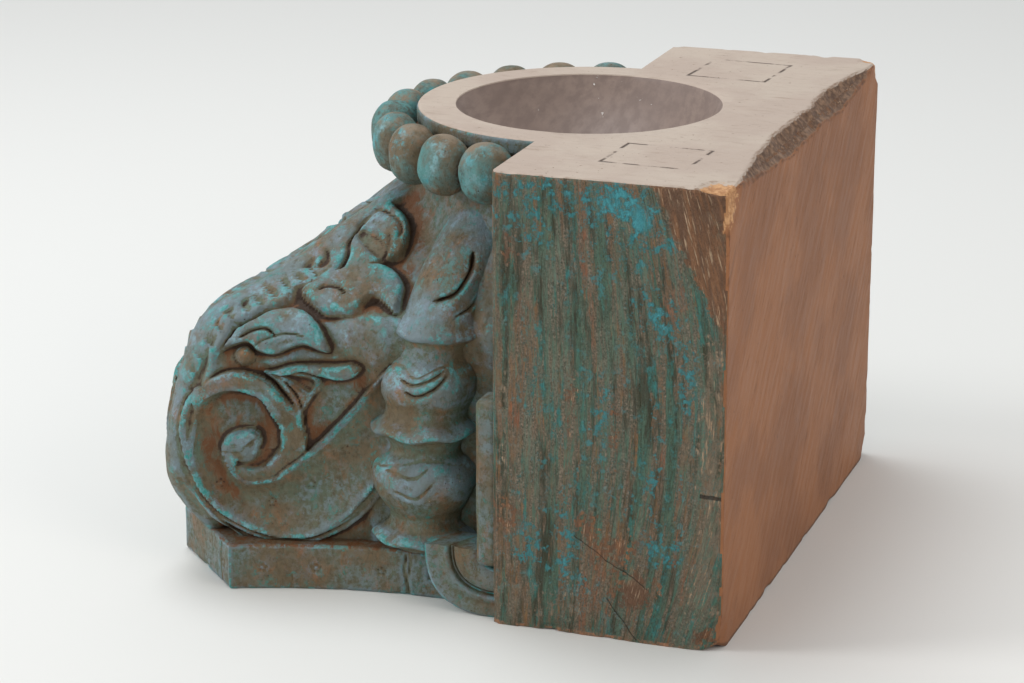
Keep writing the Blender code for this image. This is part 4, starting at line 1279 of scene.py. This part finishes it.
# All in millimetres
tail = {
    "long": 41.5,
    "drop": 38,
    "squareness": 2.7,
    "inner": 11,
    "bandEdge": 27.5,
    "rollEdge": 24,
    "face": 160.5,
    "thick": 24,
    "straight": 0.12,  # last share of the sweep, which runs into the block
    "intoBlock": 8,
    "steps": 120,
    "across": 70,
    "behind": 12,
}


def makeTail(name, hand):
    steps, across, behind = tail["steps"], tail["across"], tail["behind"]
    sweep = np.linspace(0, 1, steps)
    # The curl turns down a quarter and then runs straight back into the block
    curl = 1 - tail["straight"]
    turn = np.pi + np.clip(sweep / curl, 0, 1) * np.pi / 2
    run = np.clip(sweep - curl, 0, None) / tail["straight"] * tail["intoBlock"]
    # Round the section: the side face from outer to inner radius, then the hidden back
    share = np.concatenate([np.linspace(1, 0, across), np.linspace(0, 1, behind)])
    front = tail["inner"] + (tail["drop"] - tail["inner"]) * np.linspace(1, 0, across)
    bandEdge, rollEdge = tail["bandEdge"], tail["rollEdge"]
    relief = -1.2 * smoothStep(2, 7, tail["drop"] - front) * smoothStep(bandEdge, bandEdge + 4, front)
    relief = relief - 3.4 * np.exp(-((front - (bandEdge + rollEdge) / 2 + 0.3) / 0.9) ** 2)
    roll = np.clip(1 - ((front - (rollEdge + tail["inner"]) / 2) / ((rollEdge - tail["inner"]) / 2)) ** 2, 0, 1)
    relief = relief + np.where(front < rollEdge, -3.0 + 3.2 * np.sqrt(roll), 0)
    relief = relief - 1.0 * smoothStep(1.2, 0, tail["drop"] - front)
    depth = np.concatenate([tail["face"] + relief, np.full(behind, tail["face"] - tail["thick"])])
    turns, part = np.meshgrid(turn, share, indexing="ij")
    power = tail["squareness"]
    outer = np.abs(np.cos(turns) / tail["long"]) ** power + np.abs(np.sin(turns) / tail["drop"]) ** power
    outer = outer ** (-1 / power)
    spot = tail["inner"] + (outer - tail["inner"]) * part
    x = np.repeat(depth[None, :], steps, axis=0)
    y = np.cos(turns) * spot + run[:, None]
    z = tail["drop"] + np.sin(turns) * spot
    points = np.stack([hand * x * mm, blockFront + y * mm, np.maximum(z, 0.1) * mm], axis=-1)
    points[..., 0] += hand * softNoise(points, 0.009, 91, 2) * 0.0005
    hollow = hollowness(points, facingOut(points, points.mean(axis=(0, 1))), 3)
    marks = {"hollow": hollow, "deep": np.full(hollow.shape, 0.25)}
    return drapeLoop(name, points, marks, 45, carvedPaint)


makeTail("tailRight", 1)
makeTail("tailLeft", -1)
print("tails done")


# Upright half-round strips in the corner between tassel and block

strip = {"face": 0.1635, "width": 0.0115, "foot": 0.0295, "top": 0.1240, "depth": 0.020, "round": 0.0042,
         "voxel": 0.0009}


def makeStrip(name, hand):
    startPiece()
    middle = (hand * (strip["face"] - strip["depth"] / 2), blockFront - strip["width"] / 2 + 0.001,
              (strip["foot"] + strip["top"]) / 2)
    bpy.ops.mesh.primitive_cube_add(size=1, location=middle,
                                    scale=(strip["depth"], strip["width"] + 0.002, strip["top"] - strip["foot"]))
    piece = bpy.context.object
    piece.name = name
    bpy.ops.object.transform_apply(location=True, rotation=True, scale=True)
    bpy.ops.object.mode_set(mode="EDIT")
    bpy.ops.mesh.select_all(action="SELECT")
    bpy.ops.mesh.bevel(offset=strip["round"], segments=5, profile=0.5, affect="EDGES")
    bpy.ops.mesh.select_all(action="SELECT")
    bpy.ops.mesh.subdivide(number_cuts=2)
    bpy.ops.object.mode_set(mode="OBJECT")
    remesh = piece.modifiers.new("even", "REMESH")
    remesh.mode = "VOXEL"
    remesh.voxel_size = strip["voxel"]
    bpy.ops.object.modifier_apply(modifier="even")
    places = np.empty(len(piece.data.vertices) * 3, np.float32)
    piece.data.vertices.foreach_get("co", places)
    places = places.reshape(-1, 3).astype(float)
    rounds = softNoise(places * [1, 1, 0.3], 0.007, 95, 2) * 0.0007
    places[:, 0] += hand * rounds
    piece.data.vertices.foreach_set("co", places.reshape(-1).astype(np.float32))
    beside = np.abs(places[:, 1] - middle[1]) > 0.0045
    # Painted shade: the strip's sides, in the corner against block and tassel, are marked hollower than its face, so
    # they take less pale paint
    setAttribute(piece, "hollow", np.where(beside, 0.15, -0.05) - rounds / mm * 0.3)
    setAttribute(piece, "deep", np.full(len(places), 0.2))
    closePiece(piece, 60)
    return finishPiece(piece, carvedPaint)


makeStrip("stripRight", 1)
makeStrip("stripLeft", -1)
print("strips done")


# The ring of beads under the round top

bead = {"ringRadius": 0.110, "perTurn": 23, "eachSide": 6, "width": 0.0325, "reach": 0.0280, "tall": 0.0335,
        "drop": 0.0006, "sides": 72, "rows": 50}


def makeBead(index):
    angle = 2 * math.pi * index / bead["perTurn"]
    turns = np.linspace(0, 2 * math.pi, bead["sides"], endpoint=False)
    rise = np.linspace(-math.pi / 2, math.pi / 2, bead["rows"])
    turn, lift = np.meshgrid(turns, rise)
    # Squarer than an egg, with faint flats left by the chisel
    girth = np.sign(np.cos(lift)) * np.abs(np.cos(lift)) ** 0.86
    girth *= 1 - 0.030 * np.abs(np.sin(turn * 3.5 + index)) - 0.022 * np.abs(np.sin(lift * 4 + index * 1.7))
    local = np.stack([np.cos(turn) * girth * bead["width"] / 2, np.sin(turn) * girth * bead["reach"] / 2,
                      np.sin(lift) * bead["tall"] / 2], axis=-1)
    local += (softNoise(local + index, 0.010, 101 + index, 2) * 0.0006)[..., None] * np.array([1, 1, 0])
    ahead, sideways = math.cos(angle), math.sin(angle)
    middle = np.array([bead["ringRadius"] * sideways, bowlY - bead["ringRadius"] * ahead,
                       topZ - bead["drop"] - bead["tall"] / 2])
    points = np.stack([local[..., 0] * ahead - local[..., 1] * sideways,
                       local[..., 0] * sideways + local[..., 1] * ahead, local[..., 2]], axis=-1) + middle
    points[..., 2] = np.minimum(points[..., 2], topZ)
    # Painted shade: the beads are darker low down and at their sides where they touch; paint stays on the fronts
    beside = np.abs(local[..., 0]) / (bead["width"] / 2)
    front = -local[..., 1] / (bead["reach"] / 2)
    hollow = 0.75 * smoothStep(0.80, 1.0, beside) + 0.35 * smoothStep(0.1, -0.9, np.sin(lift)) - 0.02
    hollow -= 0.22 * smoothStep(-0.2, 0.6, front) * smoothStep(0.8, 0.3, beside)
    hollow += 0.25 * softNoise(local + index, 0.008, 7 + index, 3)
    deep = 0.5 * smoothStep(0.7, 1.0, beside) + 0.35 * smoothStep(-0.2, -1, np.sin(lift))
    rubbed = smoothStep(0.45, 0.85, np.sin(lift))
    marks = {"hollow": hollow, "deep": deep, "rubbed": rubbed}
    return drapeLoop(f"bead{index + bead['eachSide']:02d}", points, marks, 70, beadPaint)


for index in range(-bead["eachSide"], bead["eachSide"] + 1):
    makeBead(index)
print("beads done")


# Floor, light and camera

studio = {
    "azimuth": 109.536,  # degrees, where the camera stands round the capital
    "pitch": 17.414,
    "roll": -0.096,
    "place": (1.55719, 0.54291, 0.62237),
    "lens": 104.51,
    "lamps": (("overhead", (-0.4, -0.6, 2.4), 1.3, 24, "#f6fbff"),  # name, place, size, watts and tint
              ("side", (1.1, -2.2, 1.3), 0.9, 30, "#fbfdff"),
              ("back", (1.2, 2.0, 1.3), 1.2, 10, "#fff4e8")),
    "air": 0.66,
}


def makeFloor():
    startPiece()
    bpy.ops.mesh.primitive_plane_add(size=14, location=(0, 0, 0))
    floor = bpy.context.object
    floor.name = "studioFloor"
    material, _, shader, _ = startMaterial("paleStudioFloor")
    shader.inputs["Base Color"].default_value = fromHex("#e4e3df")
    shader.inputs["Roughness"].default_value = 0.7
    floor.data.materials.append(material)


def addLight(name, place, size, power, tint):
    data = bpy.data.lights.new(name, "AREA")
    data.shape = "DISK"
    data.size = size
    data.energy = power
    data.color = fromHex(tint)[:3]
    lamp = bpy.data.objects.new(name, data)
    bpy.context.scene.collection.objects.link(lamp)
    lamp.location = place
    lamp.rotation_mode = "QUATERNION"
    lamp.rotation_quaternion = (Vector((0, 0, 0.12)) - Vector(place)).to_track_quat("-Z", "Y")


def makeStudio():
    makeFloor()
    for lamp in studio["lamps"]:
        addLight(*lamp)
    world = bpy.data.worlds.new("studioAir")
    world.use_nodes = True
    world.node_tree.nodes["Background"].inputs["Color"].default_value = fromHex("#f4f6f8")
    world.node_tree.nodes["Background"].inputs["Strength"].default_value = studio["air"]
    bpy.context.scene.world = world
    bpy.context.scene.view_settings.view_transform = "Standard"
    data = bpy.data.cameras.new("camera")
    data.lens = studio["lens"]
    data.sensor_width = 36
    data.clip_start = 0.05
    camera = bpy.data.objects.new("camera", data)
    bpy.context.scene.collection.objects.link(camera)
    azimuth, pitch = math.radians(studio["azimuth"]), math.radians(studio["pitch"])
    back = Vector((math.sin(azimuth) * math.cos(pitch), -math.cos(azimuth) * math.cos(pitch), math.sin(pitch)))
    right = Vector((0, 0, 1)).cross(back).normalized()
    upward = back.cross(right)
    turn = Matrix((right, upward, back)).transposed().to_4x4()
    roll = Matrix.Rotation(math.radians(studio["roll"]), 4, "Z")
    camera.matrix_world = Matrix.Translation(studio["place"]) @ turn @ roll
    bpy.context.scene.camera = camera


makeStudio()
print("studio done")
